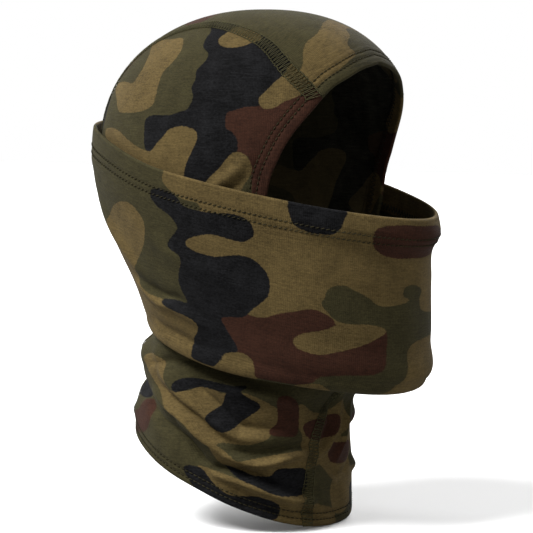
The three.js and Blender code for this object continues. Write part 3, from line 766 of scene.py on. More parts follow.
@dataclass(frozen=True)
class Ridge:
    """A fold that runs along a line of (degrees, level) places: rounded, or a sharper crease where its height
    is negative."""

    line: Line
    height: float
    width: float

    def rise(self, at: Array, stretch: tuple[float, float]) -> Array:
        """Height over the cloth: height * exp(-(distance/width)^sharpness), fading out towards both ends."""
        a = np.array(self.line, float) * stretch
        run = np.diff(a, axis=0)
        length = np.linalg.norm(run, axis=1)
        start = np.concatenate([[0], np.cumsum(length)[:-1]])
        rel = at[:, None] - a[:-1]
        t = np.clip((rel * run).sum(-1) / length**2, 0, 1)
        away = np.sqrt(((rel - t[..., None] * run) ** 2).sum(-1))
        k = away.argmin(1)
        near = np.take_along_axis(away, k[:, None], 1)[:, 0]
        share = (start[k] + np.take_along_axis(t, k[:, None], 1)[:, 0] * length[k]) / length.sum()
        fade = np.sin(math.pi * (0.06 + 0.88 * share)) ** 0.7
        sharpness = 2.0 if self.height > 0 else 1.3
        return self.height * fade * np.exp(-((near / self.width) ** sharpness))


@dataclass(frozen=True)
class Waves:
    """Soft swells of slack cloth: a sum of sine waves of fixed random direction, length and phase."""

    height: float
    longest: float = 90.0
    shortest: float = 26.0
    count: int = 9
    seed: int = 7

    def rise(self, at: Array) -> Array:
        """Height at places in millimetres; the around direction keeps a whole number of waves."""
        random = np.random.default_rng(self.seed)
        total = np.zeros(len(at))
        for _ in range(self.count):
            length = random.uniform(self.shortest, self.longest)
            turn = random.uniform(-0.9, 0.9)
            around = np.round(360 * math.cos(turn) / length * 1.2)
            steep = 2 * math.pi * math.sin(turn) / length
            phase = np.radians(at[:, 0] * around) + at[:, 1] * steep + random.uniform(0, 6.28)
            total += np.sin(phase) * (length / self.longest)
        return self.height * total / math.sqrt(self.count)


@dataclass(frozen=True)
class Drape:
    """Moves the points of a cloth, and of all that is sewn to it, level outwards by its folds."""

    ridges: tuple[Ridge, ...]
    waves: Waves
    slack: Line
    slope: float = 0.0
    centre: float = 0.0
    stretch: tuple[float, float] = (1.1, 1.0)

    def apply(self, points: Array) -> Array:
        """Points moved outwards from the upright line through the centre.

        Args:
            points: (..., 3) on or near the cloth.

        Returns:
            The moved points: each keeps its height and gains the rise of the ridges, and of the waves times
            the slack at its level.
        """
        flat = points.reshape(-1, 3)
        x, y = flat[:, 0], flat[:, 1] - self.centre
        level = flat[:, 2] - self.slope * flat[:, 1]
        at = np.stack([np.degrees(np.arctan2(-x, -y)), level], 1)
        rise = self.waves.rise(at) * along(self.slack, level)
        for ridge in self.ridges:
            for turn in (0, 360):
                rise += ridge.rise((at + (turn, 0)) * self.stretch, self.stretch)
        out = unit(np.stack([x, y, np.zeros(len(x))], 1))
        return (flat + out * rise[:, None]).reshape(points.shape)


WIDEST = HoodShape().widest
NECK_GAIN, NECK_NARROWING = 1.25, 0.85
NECK_RIDGES = tuple(
    Ridge(tuple((a, WIDEST + w) for a, w in line), height * NECK_GAIN, width * NECK_NARROWING)
    for line, height, width in (
        (((82, -20), (74, -13), (66, -6), (61, 4)), 1.5, 3.6),
        (((76, -24), (69, -16), (62, -9)), -1.3, 2.6),
        (((54, -18), (55, -6), (60, 8), (66, 20)), -0.8, 2.6),
        (((-82, -20), (-72, -12), (-62, 0)), 1.3, 3.6),
        (((112, -104), (100, -110), (80, -117), (60, -122), (40, -124), (20, -124)), -4.4, 6.5),
        (((118, -128), (104, -136), (90, -144), (78, -154), (66, -158)), -2.6, 3.0),
        (((84, -126), (70, -128), (56, -130), (42, -134), (30, -142)), 2.2, 4.2),
        (((62, -192), (48, -197), (34, -199), (24, -199)), -2.0, 2.6),
        (((6, -176), (-4, -182), (-14, -180), (-24, -172)), -2.2, 3.0),
        (((16, -128), (8, -138), (6, -150), (14, -162)), -2.0, 2.8),
        (((128, -140), (115, -148), (105, -153), (97, -159), (89, -168), (83, -172), (71, -173), (59, -175),
          (49, -181), (29, -187)), -4.16, 3.4),
        (((88, -170), (81, -175), (68, -179), (51, -186), (37, -191), (22, -193)), 4.16, 3.2),
        (((122, -134), (112, -139), (102, -143), (92, -152), (81, -160), (70, -167)), 4.48, 5.0),
        (((72, -162), (60, -163), (52, -162), (41, -161), (25, -160)), -3.2, 2.8),
        (((74, -165), (67, -168), (59, -170), (50, -169), (37, -166), (25, -165)), 3.84, 2.8),
        (((95, -124), (89, -130), (74, -141), (68, -148), (50, -150), (37, -151)), -2.56, 3.6),
        (((124, -112), (116, -120), (99, -134), (84, -146), (68, -155), (50, -156)), 3.52, 4.6),
        (((132, -118), (120, -116), (110, -114), (92, -113), (75, -117), (60, -122)), -3.2, 4.0),
        (((4, -134), (0, -142), (-1, -153), (8, -163), (20, -168)), 2.56, 3.0),
        (((-14, -140), (-12, -150), (-9, -162), (0, -172)), 2.4, 3.0),
        (((-30, -146), (-55, -158), (-80, -160), (-110, -150), (-135, -138)), 3.84, 4.2),
        (((-36, -158), (-60, -170), (-86, -172), (-116, -162), (-140, -150)), -3.52, 3.6),
        (((-28, -176), (-52, -186), (-78, -186), (-100, -178)), 3.2, 3.6),
        (((-40, -132), (-70, -140), (-100, -130), (-130, -118)), 2.88, 4.4),
        (((150, -148), (172, -150), (194, -148), (216, -140)), 2.6, 5.0),
        (((216, -112), (190, -106), (168, -106), (146, -110), (126, -120)), 3.4, 6.0),
        (((214, -124), (186, -124), (150, -130), (128, -137), (106, -146)), -4.2, 6.5),
    )
)
COVER_RIDGES = (
    Ridge(((124, -161), (115, -164), (106, -167), (97, -166), (89, -168), (80, -172)), 3.6, 3.0),
    Ridge(((121, -155), (112, -159), (102, -161), (94, -160), (86, -163)), -2.4, 3.0),
    Ridge(((118, -178), (106, -181), (94, -182), (80, -185)), -2.7, 3.2),
    Ridge(((143, -124), (132, -138), (122, -149), (114, -157)), 2.7, 4.5),
    Ridge(((112, -126), (92, -137), (74, -141), (58, -147)), 1.95, 6.0),
    Ridge(((30, -116), (18, -126), (8, -142), (4, -160)), 1.35, 7.0),
    Ridge(((-36, -120), (-60, -138), (-84, -150), (-104, -158)), 2.55, 6.0),
    Ridge(((-64, -112), (-90, -128), (-116, -144)), -2.1, 5.0),
    Ridge(((-150, -150), (-128, -160), (-104, -168), (-84, -172)), 3.0, 4.5),
)


# ---- Cloth and thread meshes ----


HEAD_MIDDLE = np.array([0.0, 0.0, -102.0])
PINCH_DEPTH, PINCH_WIDTH = 0.45, 0.9


def raised(surface: Surface, u: Array, v: Array, height: Array | float) -> Array:
    """Points of a surface lifted along its outward normal.

    Args:
        surface: gives the points at two coordinates.
        u: first coordinate.
        v: second coordinate.
        height: how far the points are lifted.

    Returns:
        The lifted points; the normal is the cross product of the two slopes, turned away from the head.
    """
    u, v = paired(u, v)
    p = surface(u, v)
    along_u = surface(u + SLOPE_STEP, v) - surface(u - SLOPE_STEP, v)
    along_v = surface(u, v + SLOPE_STEP) - surface(u, v - SLOPE_STEP)
    normal = unit(np.cross(along_u, along_v))
    inward = (normal * (p - HEAD_MIDDLE)).sum(-1, keepdims=True) < 0
    return p + np.where(inward, -normal, normal) * np.asarray(height, float)[..., None]


def even_keys(line: Callable[[Array], Array], start: float, end: float, spacing: float) -> Array:
    """Keys of places that lie evenly along a line.

    Args:
        line: gives the point at a key.
        start: first key.
        end: last key.
        spacing: about how far apart the places lie, rounded to divide the line.

    Returns:
        The keys, ends included: the line's length is summed and read backwards.
    """
    keys = np.linspace(start, end, 2400)
    steps = np.linalg.norm(np.diff(line(keys), axis=0), axis=1)
    length = np.concatenate([[0], np.cumsum(steps)])
    count = max(2, round(length[-1] / spacing)) + 1
    return np.interp(np.linspace(0, length[-1], count), length, keys)


def put_cloth(
    name: str,
    points: Array,
    u: Array,
    v: Array,
    printed: Print,
    finish: tuple[Material, Material],
    thickness: float,
    closed: bool = False,
) -> Thing:
    """Makes a cloth of even thickness from the grid of its printed face.

    Args:
        name: the object's name.
        points: (rows, columns, 3) of the printed face.
        u: first print coordinate of every point.
        v: second print coordinate of every point.
        printed: its print.
        finish: the materials of its printed face and of its back.
        thickness: how thick it is, laid inwards.
        closed: whether its last row runs on into its first.

    Returns:
        The cloth, with its thickness as a modifier.
    """
    rows, columns = points.shape[:2]
    faces = grid_faces(rows, columns, closed)
    normal = normals_of(points, closed)
    middle = points.reshape(-1, 3).mean(0) * (0, 0, 1)
    if (normal * (points - middle)).sum() < 0:
        faces = faces[:, ::-1]
    thing = put_mesh(name, points.reshape(-1, 3), faces)
    printed.stamp(thing, u, v)
    give_uv(thing, faces, u.ravel() * printed.stretch[0], v.ravel() * printed.stretch[1], 360 * printed.stretch[0])
    for material in finish:
        thing.data.materials.append(material)
    wall = thing.modifiers.new("thickness", "SOLIDIFY")
    wall.thickness = thickness * MM
    wall.offset = -1
    wall.use_even_offset = False
    wall.material_offset = 1
    wall.material_offset_rim = 0
    return thing


def give_uv(thing: Thing, faces: Array, u: Array, v: Array, turn: float) -> None:
    """Writes the cloth's UV map, where a face across the end of a ring runs on past it.

    Args:
        thing: the cloth.
        faces: its faces.
        u: first coordinate of every vertex, in millimetres.
        v: second coordinate of every vertex, in millimetres.
        turn: length of a whole turn of the first coordinate.
    """
    across = u[faces]
    wide = (across.max(1) - across.min(1)) > turn / 2
    across = np.where(wide[:, None] & (across < 0), across + turn, across)
    pairs = np.stack([across, v[faces]], -1) / MAP_UNIT
    layer = thing.data.uv_layers.new(name=CLOTH_MAP)
    layer.data.foreach_set("uv", pairs.astype(np.float32).ravel())


def put_threads(name: str, paths: Array, radius: float, material: Material) -> Thing:
    """Makes many short threads as one mesh.

    Each ring of a thread is a hexagon across its path, a little smaller at the ends, and the two ends are
    closed by two four-sided faces each.

    Args:
        name: the object's name.
        paths: (threads, points, 3), each thread's own line.
        radius: half the thickness of a thread.
        material: its finish.

    Returns:
        The object.
    """
    (count, length), sides = paths.shape[:2], THREAD_SIDES
    tangent = unit(np.gradient(paths, axis=1))
    out = unit(paths - HEAD_MIDDLE)
    side = unit(np.cross(tangent, out))
    up = np.cross(side, tangent)
    turn = np.linspace(0, 2 * math.pi, sides, endpoint=False)
    share = np.linspace(-1, 1, length)
    reach = radius * (1 - 0.45 * share**6)[None, :, None, None]
    ring = np.cos(turn)[:, None] * side[:, :, None] + np.sin(turn)[:, None] * up[:, :, None]
    points = (paths[:, :, None] + reach * ring).reshape(-1, 3)
    i, k, j = np.meshgrid(np.arange(count), np.arange(length - 1), np.arange(sides), indexing="ij")
    base, beyond = (i * length + k) * sides, (i * length + k + 1) * sides
    after = (j + 1) % sides
    walls = np.stack([base + j, base + after, beyond + after, beyond + j], -1).reshape(-1, 4)
    first = (np.arange(count) * length * sides)[:, None]
    last = first + (length - 1) * sides
    ends = [first + [3, 2, 1, 0], first + [5, 4, 3, 0], last + [0, 1, 2, 3], last + [0, 3, 4, 5]]
    thing = put_mesh(name, points, np.vstack([walls, *ends]))
    turn_out(thing)
    thing.data.materials.append(material)
    return thing


def turn_out(thing: Thing) -> None:
    """Turns the faces of closed bodies outwards if their summed volume is negative."""
    mesh = thing.data
    co = np.empty(len(mesh.vertices) * 3, np.float32)
    mesh.vertices.foreach_get("co", co)
    corners = np.empty(len(mesh.loops), np.int32)
    mesh.loops.foreach_get("vertex_index", corners)
    quad = co.reshape(-1, 3).astype(float)[corners.reshape(-1, 4)]
    volume = sum((quad[:, 0] * np.cross(quad[:, k], quad[:, k + 1])).sum() for k in (1, 2))
    if volume < 0:
        mesh.flip_normals()


def pinch(distance: Array, rows: tuple[float, float]) -> Array:
    """How far two rows of stitches pull the cloth in at a distance from the edge: a bell over each row."""
    return sum(PINCH_DEPTH * np.exp(-(((distance - row) / PINCH_WIDTH) ** 2)) for row in rows)


def fold_profile(width: float, turned: float, rows: tuple[float, float], radius: float) -> tuple[Array, Array]:
    """Cross-section of a hem: down the printed face, round the folded edge and back up behind.

    Args:
        width: how far the face runs from the edge, sinking under its last 3 mm.
        turned: how far the turned layer runs from the edge.
        rows: where the two rows of stitches pinch the face.
        radius: of the folded edge.

    Returns:
        Distance from the edge and height over the hood's face, for each column.
    """
    face = np.arange(width, radius, -0.75)
    swell = 0.15 * np.sin(math.pi * np.clip((face - radius) / (rows[0] - radius), 0, 1))
    sink = 0.3 * smooth(width - 3, width, face)
    turn = np.linspace(0, math.pi, 9)
    back = np.arange(radius + 0.75, turned, 0.9)
    distance = np.concatenate([face, radius - radius * np.sin(turn), back])
    front = swell - pinch(face, rows) - sink
    height = np.concatenate([front, radius * np.cos(turn) - radius, np.full(len(back), -2 * radius)])
    return distance, height


# ---- Finishes ----


FLOAT, COLOUR = "NodeSocketFloat", "NodeSocketColor"
DYE_NAMES = ("Sand", "Green", "Brown", "Black")


def channels(code: str) -> Array:
    """The three whole numbers, 0 to 255, of a display colour such as 7a6544."""
    return np.array([int(code[i : i + 2], 16) for i in (0, 2, 4)])


def linear(code: str) -> tuple[float, float, float, float]:
    """A display colour as the linear colour that shaders take."""
    shown = channels(code) / 255
    value = np.where(shown <= 0.04045, shown / 12.92, ((shown + 0.055) / 1.055) ** 2.4)
    return (*(float(x) for x in value), 1.0)


class Graph:
    """A node tree with short ways to add and join nodes."""

    def __init__(self, tree: Tree) -> None:
        """Keeps the tree."""
        self.tree = tree

    def add(self, kind: str, inputs: dict | None = None, **settings: object) -> bpy.types.Node:
        """Adds a node.

        Args:
            kind: its type.
            inputs: values, or sockets to join, by input name or number.
            settings: its other properties.

        Returns:
            The node.
        """
        node = self.tree.nodes.new(kind)
        for key, value in settings.items():
            setattr(node, key, value)
        for key, value in (inputs or {}).items():
            if isinstance(value, Socket):
                self.tree.links.new(value, node.inputs[key])
            else:
                node.inputs[key].default_value = value
        return node

    def math(self, operation: str, a: object, b: object = 0.0, c: object = 0.0) -> Socket:
        """A Math node's result."""
        return self.add("ShaderNodeMath", {0: a, 1: b, 2: c}, operation=operation).outputs[0]

    def mix(self, share: object, a: object, b: object, blend: str = "MIX") -> Socket:
        """A colour mix: a where share is 0, b where it is 1."""
        return self.add("ShaderNodeMix", {0: share, 6: a, 7: b}, data_type="RGBA", blend_type=blend).outputs[2]

    def mix_value(self, share: object, a: object, b: object) -> Socket:
        """A mix of two numbers: a where share is 0, b where it is 1."""
        return self.add("ShaderNodeMix", {0: share, 2: a, 3: b}).outputs[0]

    def spread(self, value: object, low: float, high: float, to_low: float, to_high: float) -> Socket:
        """Maps a value from one range to another, held to the ends and eased between them."""
        inputs = {0: value, 1: low, 2: high, 3: to_low, 4: to_high}
        return self.add("ShaderNodeMapRange", inputs, interpolation_type="SMOOTHSTEP").outputs[0]

    def place(self) -> Socket:
        """Place on the object, in metres."""
        return self.add("ShaderNodeTexCoord").outputs["Object"]

    def cloth_place(self) -> Socket:
        """Place on the flat cloth, in tens of millimetres."""
        return self.add("ShaderNodeUVMap", uv_map=CLOTH_MAP).outputs[0]

    def scaled(self, vector: Socket, scale: tuple[float, float, float]) -> Socket:
        """A place with each coordinate multiplied."""
        return self.add("ShaderNodeMapping", {"Vector": vector, "Scale": scale}).outputs[0]

    def courses(self) -> Socket:
        """Place on the flat cloth, drawn out along the courses of the knit."""
        return self.scaled(self.cloth_place(), (1.2, 9.0, 1.0))

    def noise(self, vector: object, scale: float, detail: float, roughness: float = 0.5) -> Socket:
        """Noise from 0 to 1."""
        inputs = {"Vector": vector, "Scale": scale, "Detail": detail, "Roughness": roughness}
        return self.add("ShaderNodeTexNoise", inputs).outputs[0]

    def group(self, tree: Tree, **inputs: float) -> bpy.types.Node:
        """Adds a node group with some of its inputs set."""
        return self.add("ShaderNodeGroup", inputs, node_tree=tree)

    def give(self, **outputs: object) -> Tree:
        """Closes a node group: joins its outputs by name and hands back its tree."""
        self.add("NodeGroupOutput", outputs)
        return self.tree

    def surface(self, relief: object, strength: float, depth: float, inputs: dict) -> None:
        """Closes a material: a Principled BSDF under a relief.

        Args:
            relief: its height, 0 to 1.
            strength: how much of it shows.
            depth: its depth in millimetres.
            inputs: the shader's other inputs.
        """
        bump = self.add("ShaderNodeBump", {"Height": relief, "Strength": strength, "Distance": depth * MM})
        shader = self.add("ShaderNodeBsdfPrincipled", {**inputs, "Normal": bump.outputs[0]})
        self.add("ShaderNodeOutputMaterial", {"Surface": shader.outputs[0]})


def new_group(name: str, inputs: dict[str, object], outputs: dict[str, str]) -> tuple[Graph, dict]:
    """Makes a shader node group.

    Args:
        name: its name.
        inputs: first value by name, a number or a colour.
        outputs: socket type by name.

    Returns:
        Its graph, and its inputs' sockets by name.
    """
    tree = bpy.data.node_groups.new(name, "ShaderNodeTree")
    for key, value in inputs.items():
        kind = FLOAT if isinstance(value, float) else COLOUR
        tree.interface.new_socket(key, in_out="INPUT", socket_type=kind).default_value = value
    for key, kind in outputs.items():
        tree.interface.new_socket(key, in_out="OUTPUT", socket_type=kind)
    graph = Graph(tree)
    entry = graph.add("NodeGroupInput")
    return graph, {key: entry.outputs[key] for key in inputs}


def new_material(name: str) -> tuple[Material, Graph]:
    """A new material and its graph, emptied."""
    made = bpy.data.materials.new(name)
    made.use_nodes = True
    made.node_tree.nodes.clear()
    return made, Graph(made.node_tree)


def knit_group() -> Tree:
    """Relief of a fine single jersey: upright ribs of nested V stitches, with stray yarns between them.

    Across a rib the height is 1 - t^2, t running from 0 at its middle to 1 at its sides; along it a sine
    wave that lags by half a stitch towards the sides makes the V. The ribs wander a little, and soft noise
    stands for uneven yarn, drawn out along the courses where stitches are slack. Rib and Stitch are
    millimetres.
    """
    inputs = {"Rib": 0.8, "Stitch": 0.6, "Fuzz": 0.5, "Slack": 1.4}
    graph, given = new_group("knit_relief", inputs, {"Height": FLOAT, "Yarn": FLOAT})
    uv = graph.cloth_place()
    split = graph.add("ShaderNodeSeparateXYZ", {0: uv})
    wander = graph.math("MULTIPLY", graph.noise(uv, 0.9, 1.0), 1.6)
    round_cloth = graph.math("MULTIPLY_ADD", split.outputs[0], MAP_UNIT, wander)
    up_cloth = graph.math("MULTIPLY", split.outputs[1], MAP_UNIT)
    across = graph.math("FRACT", graph.math("DIVIDE", round_cloth, given["Rib"]))
    side = graph.math("MULTIPLY", graph.math("ABSOLUTE", graph.math("SUBTRACT", across, 0.5)), 2.0)
    lag = graph.math("MULTIPLY_ADD", side, 0.5, graph.math("DIVIDE", up_cloth, given["Stitch"]))
    wave = graph.math("SINE", graph.math("MULTIPLY", lag, 2 * math.pi))
    rib = graph.math("SUBTRACT", 1.0, graph.math("MULTIPLY", side, side))
    vee = graph.math("MULTIPLY", rib, graph.math("MULTIPLY_ADD", wave, 0.35, 0.65))
    uneven = graph.math("MULTIPLY_ADD", graph.noise(graph.courses(), 1.0, 2.0), given["Slack"], vee)
    height = graph.math("MULTIPLY_ADD", graph.noise(graph.place(), 1500.0, 2.0), given["Fuzz"], uneven)
    # The second output is the V pattern alone, which the finishes use as painted shade: darker in the grooves
    # between the ribs, lighter on their tops.
    return graph.give(Height=height, Yarn=vee)


def melange_group() -> Tree:
    """Uneven dye as one brightness: specks, clouds, faded places and long thin streaks along the courses."""
    inputs = {"Speck": 0.3, "Cloud": 0.16, "Fade": 0.14, "Streak": 0.2}
    graph, given = new_group("melange", inputs, {"Brightness": FLOAT, "Speck": FLOAT})
    place = graph.place()
    layers = {
        "Speck": graph.noise(graph.scaled(place, (1.0, 1.0, 2.4)), 620.0, 3.0, 0.7),
        "Cloud": graph.noise(place, 120.0, 3.0),
        "Fade": graph.noise(place, 22.0, 2.0),
        "Streak": graph.noise(graph.courses(), 1.0, 3.0, 0.6),
    }
    total: object = 1.0
    for name, layer in layers.items():
        centred = graph.math("MULTIPLY", graph.math("SUBTRACT", layer, 0.5), 4.0)
        total = graph.math("MULTIPLY_ADD", centred, given[name], total)
    return graph.give(Brightness=total, Speck=layers["Speck"])


def inks_group() -> Tree:
    """The print: each ink covers those before it where its stored depth is above zero.

    Edge is half the width of an ink's soft edge, which wanders by the width of a stitch, and Spread is how
    far an ink runs past its outline, both in millimetres. Dark is 1 where the black ink shows.
    """
    inputs = {**dict.fromkeys(DYE_NAMES, (0.5, 0.5, 0.5, 1)), "Edge": 0.3, "Spread": 0.55}
    graph, given = new_group("printed_inks", inputs, {"Color": COLOUR, "Dark": FLOAT})
    noise = graph.noise(graph.place(), 700.0, 2.0)
    wander = graph.math("MULTIPLY", graph.math("SUBTRACT", noise, 0.5), 1.1)
    reach = graph.math("ADD", given["Edge"], given["Spread"])
    width = graph.math("MULTIPLY", given["Edge"], 2.0)
    colour: object = given["Sand"]
    dark: object = 0.0
    for ink in Ink:
        depth = graph.add("ShaderNodeAttribute", attribute_name=ink.value).outputs["Fac"]
        grown = graph.math("ADD", graph.math("ADD", depth, wander), reach)
        share = graph.spread(graph.math("DIVIDE", grown, width), 0.0, 1.0, 0.0, 1.0)
        colour = graph.mix(share, colour, given[ink.dye])
        step = graph.math("SUBTRACT", 1.0 if ink is Ink.BLACK else 0.0, dark)
        dark = graph.math("MULTIPLY_ADD", share, step, dark)
    return graph.give(Color=colour, Dark=dark)


class Groups:
    """The node groups that the finishes share."""

    def __init__(self) -> None:
        """Builds each group once."""
        self.knit = knit_group()
        self.melange = melange_group()
        self.inks = inks_group()


@dataclass(frozen=True)
class Dyes:
    """Colours of the four inks, as display codes, in the order of DYE_NAMES."""

    sand: str = "57492c"
    green: str = "36321f"
    brown: str = "352017"
    black: str = "111112"

    def paled(self, towards: str, share: float) -> Dyes:
        """The same inks seen from the unprinted side: each moved towards the bare yarn's colour."""
        moved = (channels(code) + (channels(towards) - channels(code)) * share for code in astuple(self))
        return Dyes(*("".join(f"{round(x):02x}" for x in colour) for colour in moved))


@dataclass(frozen=True)
class Knit:
    """A printed jersey's look: its inks, how uneven the dye is and how deep the stitches are."""

    name: str
    dyes: Dyes
    speck: float = 0.42
    relief: float = 0.13
    roughness: float = 0.86
    sheen: float = 0.02
    # Albedo multipliers of the painted shade between the stitches: in the grooves and on the tops of the ribs.
    painted_stitch_shade: tuple[float, float] = (0.82, 1.1)
    darkest: float = 0.25

    def material(self, groups: Groups) -> Material:
        """Makes the material: inks times uneven dye times painted shade between the stitches, rough, with the knit
        as relief.

        Args:
            groups: the shared node groups.

        Returns:
            The material. On black ink the dye's unevenness counts more: lighter streaks, partly real uneven dye
            and partly painted sheen.
        """
        made, graph = new_material(self.name)
        codes = {key: linear(code) for key, code in zip(DYE_NAMES, astuple(self.dyes))}
        inks = graph.group(groups.inks, **codes).outputs
        dye = graph.group(groups.melange, Speck=self.speck).outputs
        knit = graph.group(groups.knit).outputs
        # The dye's unevenness times painted shade, darker between the stitches and lighter on their tops.
        even = graph.math("MULTIPLY", dye["Brightness"], graph.spread(knit["Yarn"], 0.0, 1.0, *self.painted_stitch_shade))
        # On black ink the unevenness is amplified: lighter streaks, partly real uneven dye and partly painted
        # sheen.
        worn = graph.math("MULTIPLY_ADD", graph.math("SUBTRACT", dye["Brightness"], 0.98), 1.9, even)
        shade = graph.math("MAXIMUM", graph.mix_value(inks["Dark"], even, worn), self.darkest)
        graph.surface(
            knit["Height"],
            1.0,
            self.relief,
            {
                "Base Color": graph.mix(1.0, inks["Color"], shade, "MULTIPLY"),
                "Roughness": graph.spread(dye["Speck"], 0.3, 0.7, self.roughness - 0.08, self.roughness + 0.06),
                "Specular IOR Level": 0.06,
                "Sheen Weight": self.sheen,
                "Sheen Roughness": 0.5,
            },
        )
        return made


@dataclass(frozen=True)
class Thread:
    """A sewing thread's look: twisted plies of its colour, with painted shade in the grooves between them."""

    name: str
    colour: str
    # Painted shade in the grooves between the plies.
    shade: str
    roughness: float = 0.75

    def material(self, groups: Groups) -> Material:
        """Makes the material: plies as fine slanting bands of the thread's colour and of painted shade, with the
        twist as relief.
        """
        made, graph = new_material(self.name)
        bands = {"Vector": graph.place(), "Scale": 900.0, "Distortion": 1.5, "Detail": 1.0}
        ply = graph.add("ShaderNodeTexWave", bands, bands_direction="DIAGONAL").outputs[1]
        dye = graph.group(groups.melange, Speck=0.2, Cloud=0.3)
        # Painted shade in the grooves between the plies, the thread's own colour on them.
        base = graph.mix(ply, linear(self.shade), linear(self.colour))
        graph.surface(
            ply,
            0.8,
            0.05,
            {
                "Base Color": graph.mix(1.0, base, dye.outputs["Brightness"], "MULTIPLY"),
                "Roughness": graph.spread(ply, 0.0, 1.0, self.roughness + 0.15, self.roughness),
                "Specular IOR Level": 0.12,
            },
        )
        return made


@dataclass(frozen=True)
class Finishes:
    """Every finish of the mask: the cloth's printed face and paler back, and three threads."""

    cloth: tuple[Material, Material]
    dark_thread: Material
    pale_thread: Material
    looper_thread: Material

    @staticmethod
    def make() -> Finishes:
        """Builds the groups and the materials."""
        groups = Groups()
        dyes = Dyes()
        face = Knit("printed_jersey_face", dyes)
        back = Knit("printed_jersey_back", dyes.paled("55513f", 0.4), speck=0.2, roughness=0.92)
        return Finishes(
            (face.material(groups), back.material(groups)),
            Thread("dark_thread", "38331f", "14120a").material(groups),
            Thread("pale_thread", "504c33", "2b2918").material(groups),
            Thread("looper_thread", "35342a", "1c1b16").material(groups),
        )


# ---- Stitches ----


Cloth = Callable[[Array, Array, Array], Array]


def keep(thing: Thing, body: str, slot: str, *nodes: str) -> Thing:
    """Rides a piece on a body in place of its CAD nodes."""
    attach(thing, body)
    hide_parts(*nodes)
    log.info("%s: %d vertices", thing.name, len(thing.data.vertices))
    return thing


@dataclass(frozen=True)
class Sewing:
    """Threads that ride on one body: needle stitches, the looper behind a hem, and ladders over a seam.

    Lengths are millimetres: the needle's step, half the thickness of each thread, the heights over the
    cloth of the points of a needle stitch, and how far a ladder's threads stray.
    """

    finishes: Finishes
    body: str
    step: float = 2.9
    needle_radius: float = 0.3
    looper_radius: float = 0.22
    rung_radius: float = 0.235
    dip: tuple[float, ...] = (-0.5, -0.05, 0.02, -0.05, -0.5)
    stray: float = 0.18

    def dashes(self, name: str, node: str, line: Surface, keys: Array, cover: float = 0.8) -> None:
        """A row of short needle stitches.

        Args:
            name: the object's name.
            node: the CAD node that the row stands for.
            line: gives points at keys and heights over the cloth.
            keys: the needle's places.
            cover: share of each stitch that shows.
        """
        share = np.linspace(0.5 - cover / 2, 0.5 + cover / 2, len(self.dip))
        places = keys[:-1, None] + np.diff(keys)[:, None] * share
        paths = line(places, np.broadcast_to(self.dip, places.shape))
        row = put_threads(name, paths, self.needle_radius, self.finishes.dark_thread)
        keep(row, self.body, "dark_thread", node)

    def looper(self, name: str, node: str, line: Surface, keys: Array) -> None:
        """The zigzag on a hem's back: one thread to and fro between the two rows, a stitch at a time.

        Args:
            name: the object's name.
            node: the CAD node that it stands for.
            line: gives points at keys and shares from the first row to the second.
            keys: the needle's places.
        """
        half = np.diff(keys)[:, None] / 2
        share = np.linspace(0, 1, 5)[None]
        shape = (len(half), share.size)
        there = line(keys[:-1, None] + half * share, np.broadcast_to(share, shape))
        back = line(keys[:-1, None] + half * (1 + share), np.broadcast_to(1 - share, shape))
        threads = put_threads(name, np.concatenate([there, back]), self.looper_radius, self.finishes.looper_thread)
        keep(threads, self.body, "dark_thread", node)

    def hem(
        self,
        hem: str,
        rows: dict[str, float],
        edge: Surface,
        cloth: Cloth,
        ends: tuple[float, float],
        depth: float,
        slant: float = 0.0,
    ) -> None:
        """Two rows of needle stitches along a hem, and the looper behind them.

        Args:
            hem: how the names of its pieces and nodes start.
            rows: each row's distance from the folded edge, by its name.
            edge: gives points at keys and distances, from which the stitches are spaced.
            cloth: gives points at keys, distances and heights over the worn cloth.
            ends: first and last key.
            depth: height of the looper.
            slant: how far each stitch leans across its row.
        """
        for row, off in rows.items():

            def line(k: Array, height: Array, off: float = off) -> Array:
                """Points of the row, each stitch leaning across it."""
                return cloth(k, off + slant * np.linspace(-0.5, 0.5, len(self.dip)) + 0 * k, height)

            keys = even_keys(lambda k, off=off: edge(k, np.full(k.shape, off)), *ends, self.step)
            self.dashes(f"{hem}_{row}_stitches", f"{hem}_{row}_row", line, keys)
        low, high = rows.values()

        def between(k: Array, share: Array) -> Array:
            """Points behind the hem, from one row to the other."""
            return cloth(k, low + (high - low) * share, np.full(k.shape, depth))

        self.looper(f"{hem}_looper_threads", f"{hem}_looper", between, keys)

    def ladder(self, name: str, node: str, line: Cloth, keys: Array, span: tuple[float, float], seed: int) -> None:
        """Cross threads of a flatlock seam, slanting to and fro, with a fine looped edge on both sides.

        Args:
            name: the object's name.
            node: the CAD node that it stands for.
            line: gives points at keys, places across and heights.
            keys: places of the cross threads.
            span: where they start and end across the seam.
            seed: of their unevenness.
        """
        random = np.random.default_rng(seed)
        count, points = len(keys), 6
        share = np.linspace(0, 1, points)
        lean = (0.42 * (-1.0) ** np.arange(count) + random.uniform(-0.16, 0.16, count))[:, None]
        places = keys[:, None] + np.gradient(keys)[:, None] * lean * (share - 0.5) * 1.5
        low, high = (end + random.uniform(-self.stray, self.stray, count)[:, None] for end in span)
        arch = 0.5 + random.uniform(-0.06, 0.06, count)[:, None]
        height = 0.1 + arch * np.sin(math.pi * (0.08 + 0.84 * share)) ** 0.6
        paths = [line(places, low + (high - low) * share, height)]
        hop = keys[:-1, None] + np.diff(keys)[:, None] * share
        loop = np.sin(math.pi * share)
        for side, out in ((low, -0.35), (high, 0.35)):
            paths.append(line(hop, side[:-1] + out * loop, np.broadcast_to(0.3 + 0.12 * loop, hop.shape)))
        threads = put_threads(name, np.concatenate(paths), self.rung_radius, self.finishes.pale_thread)
        keep(threads, self.body, "ladder_thread", node)


# ---- Hood ----


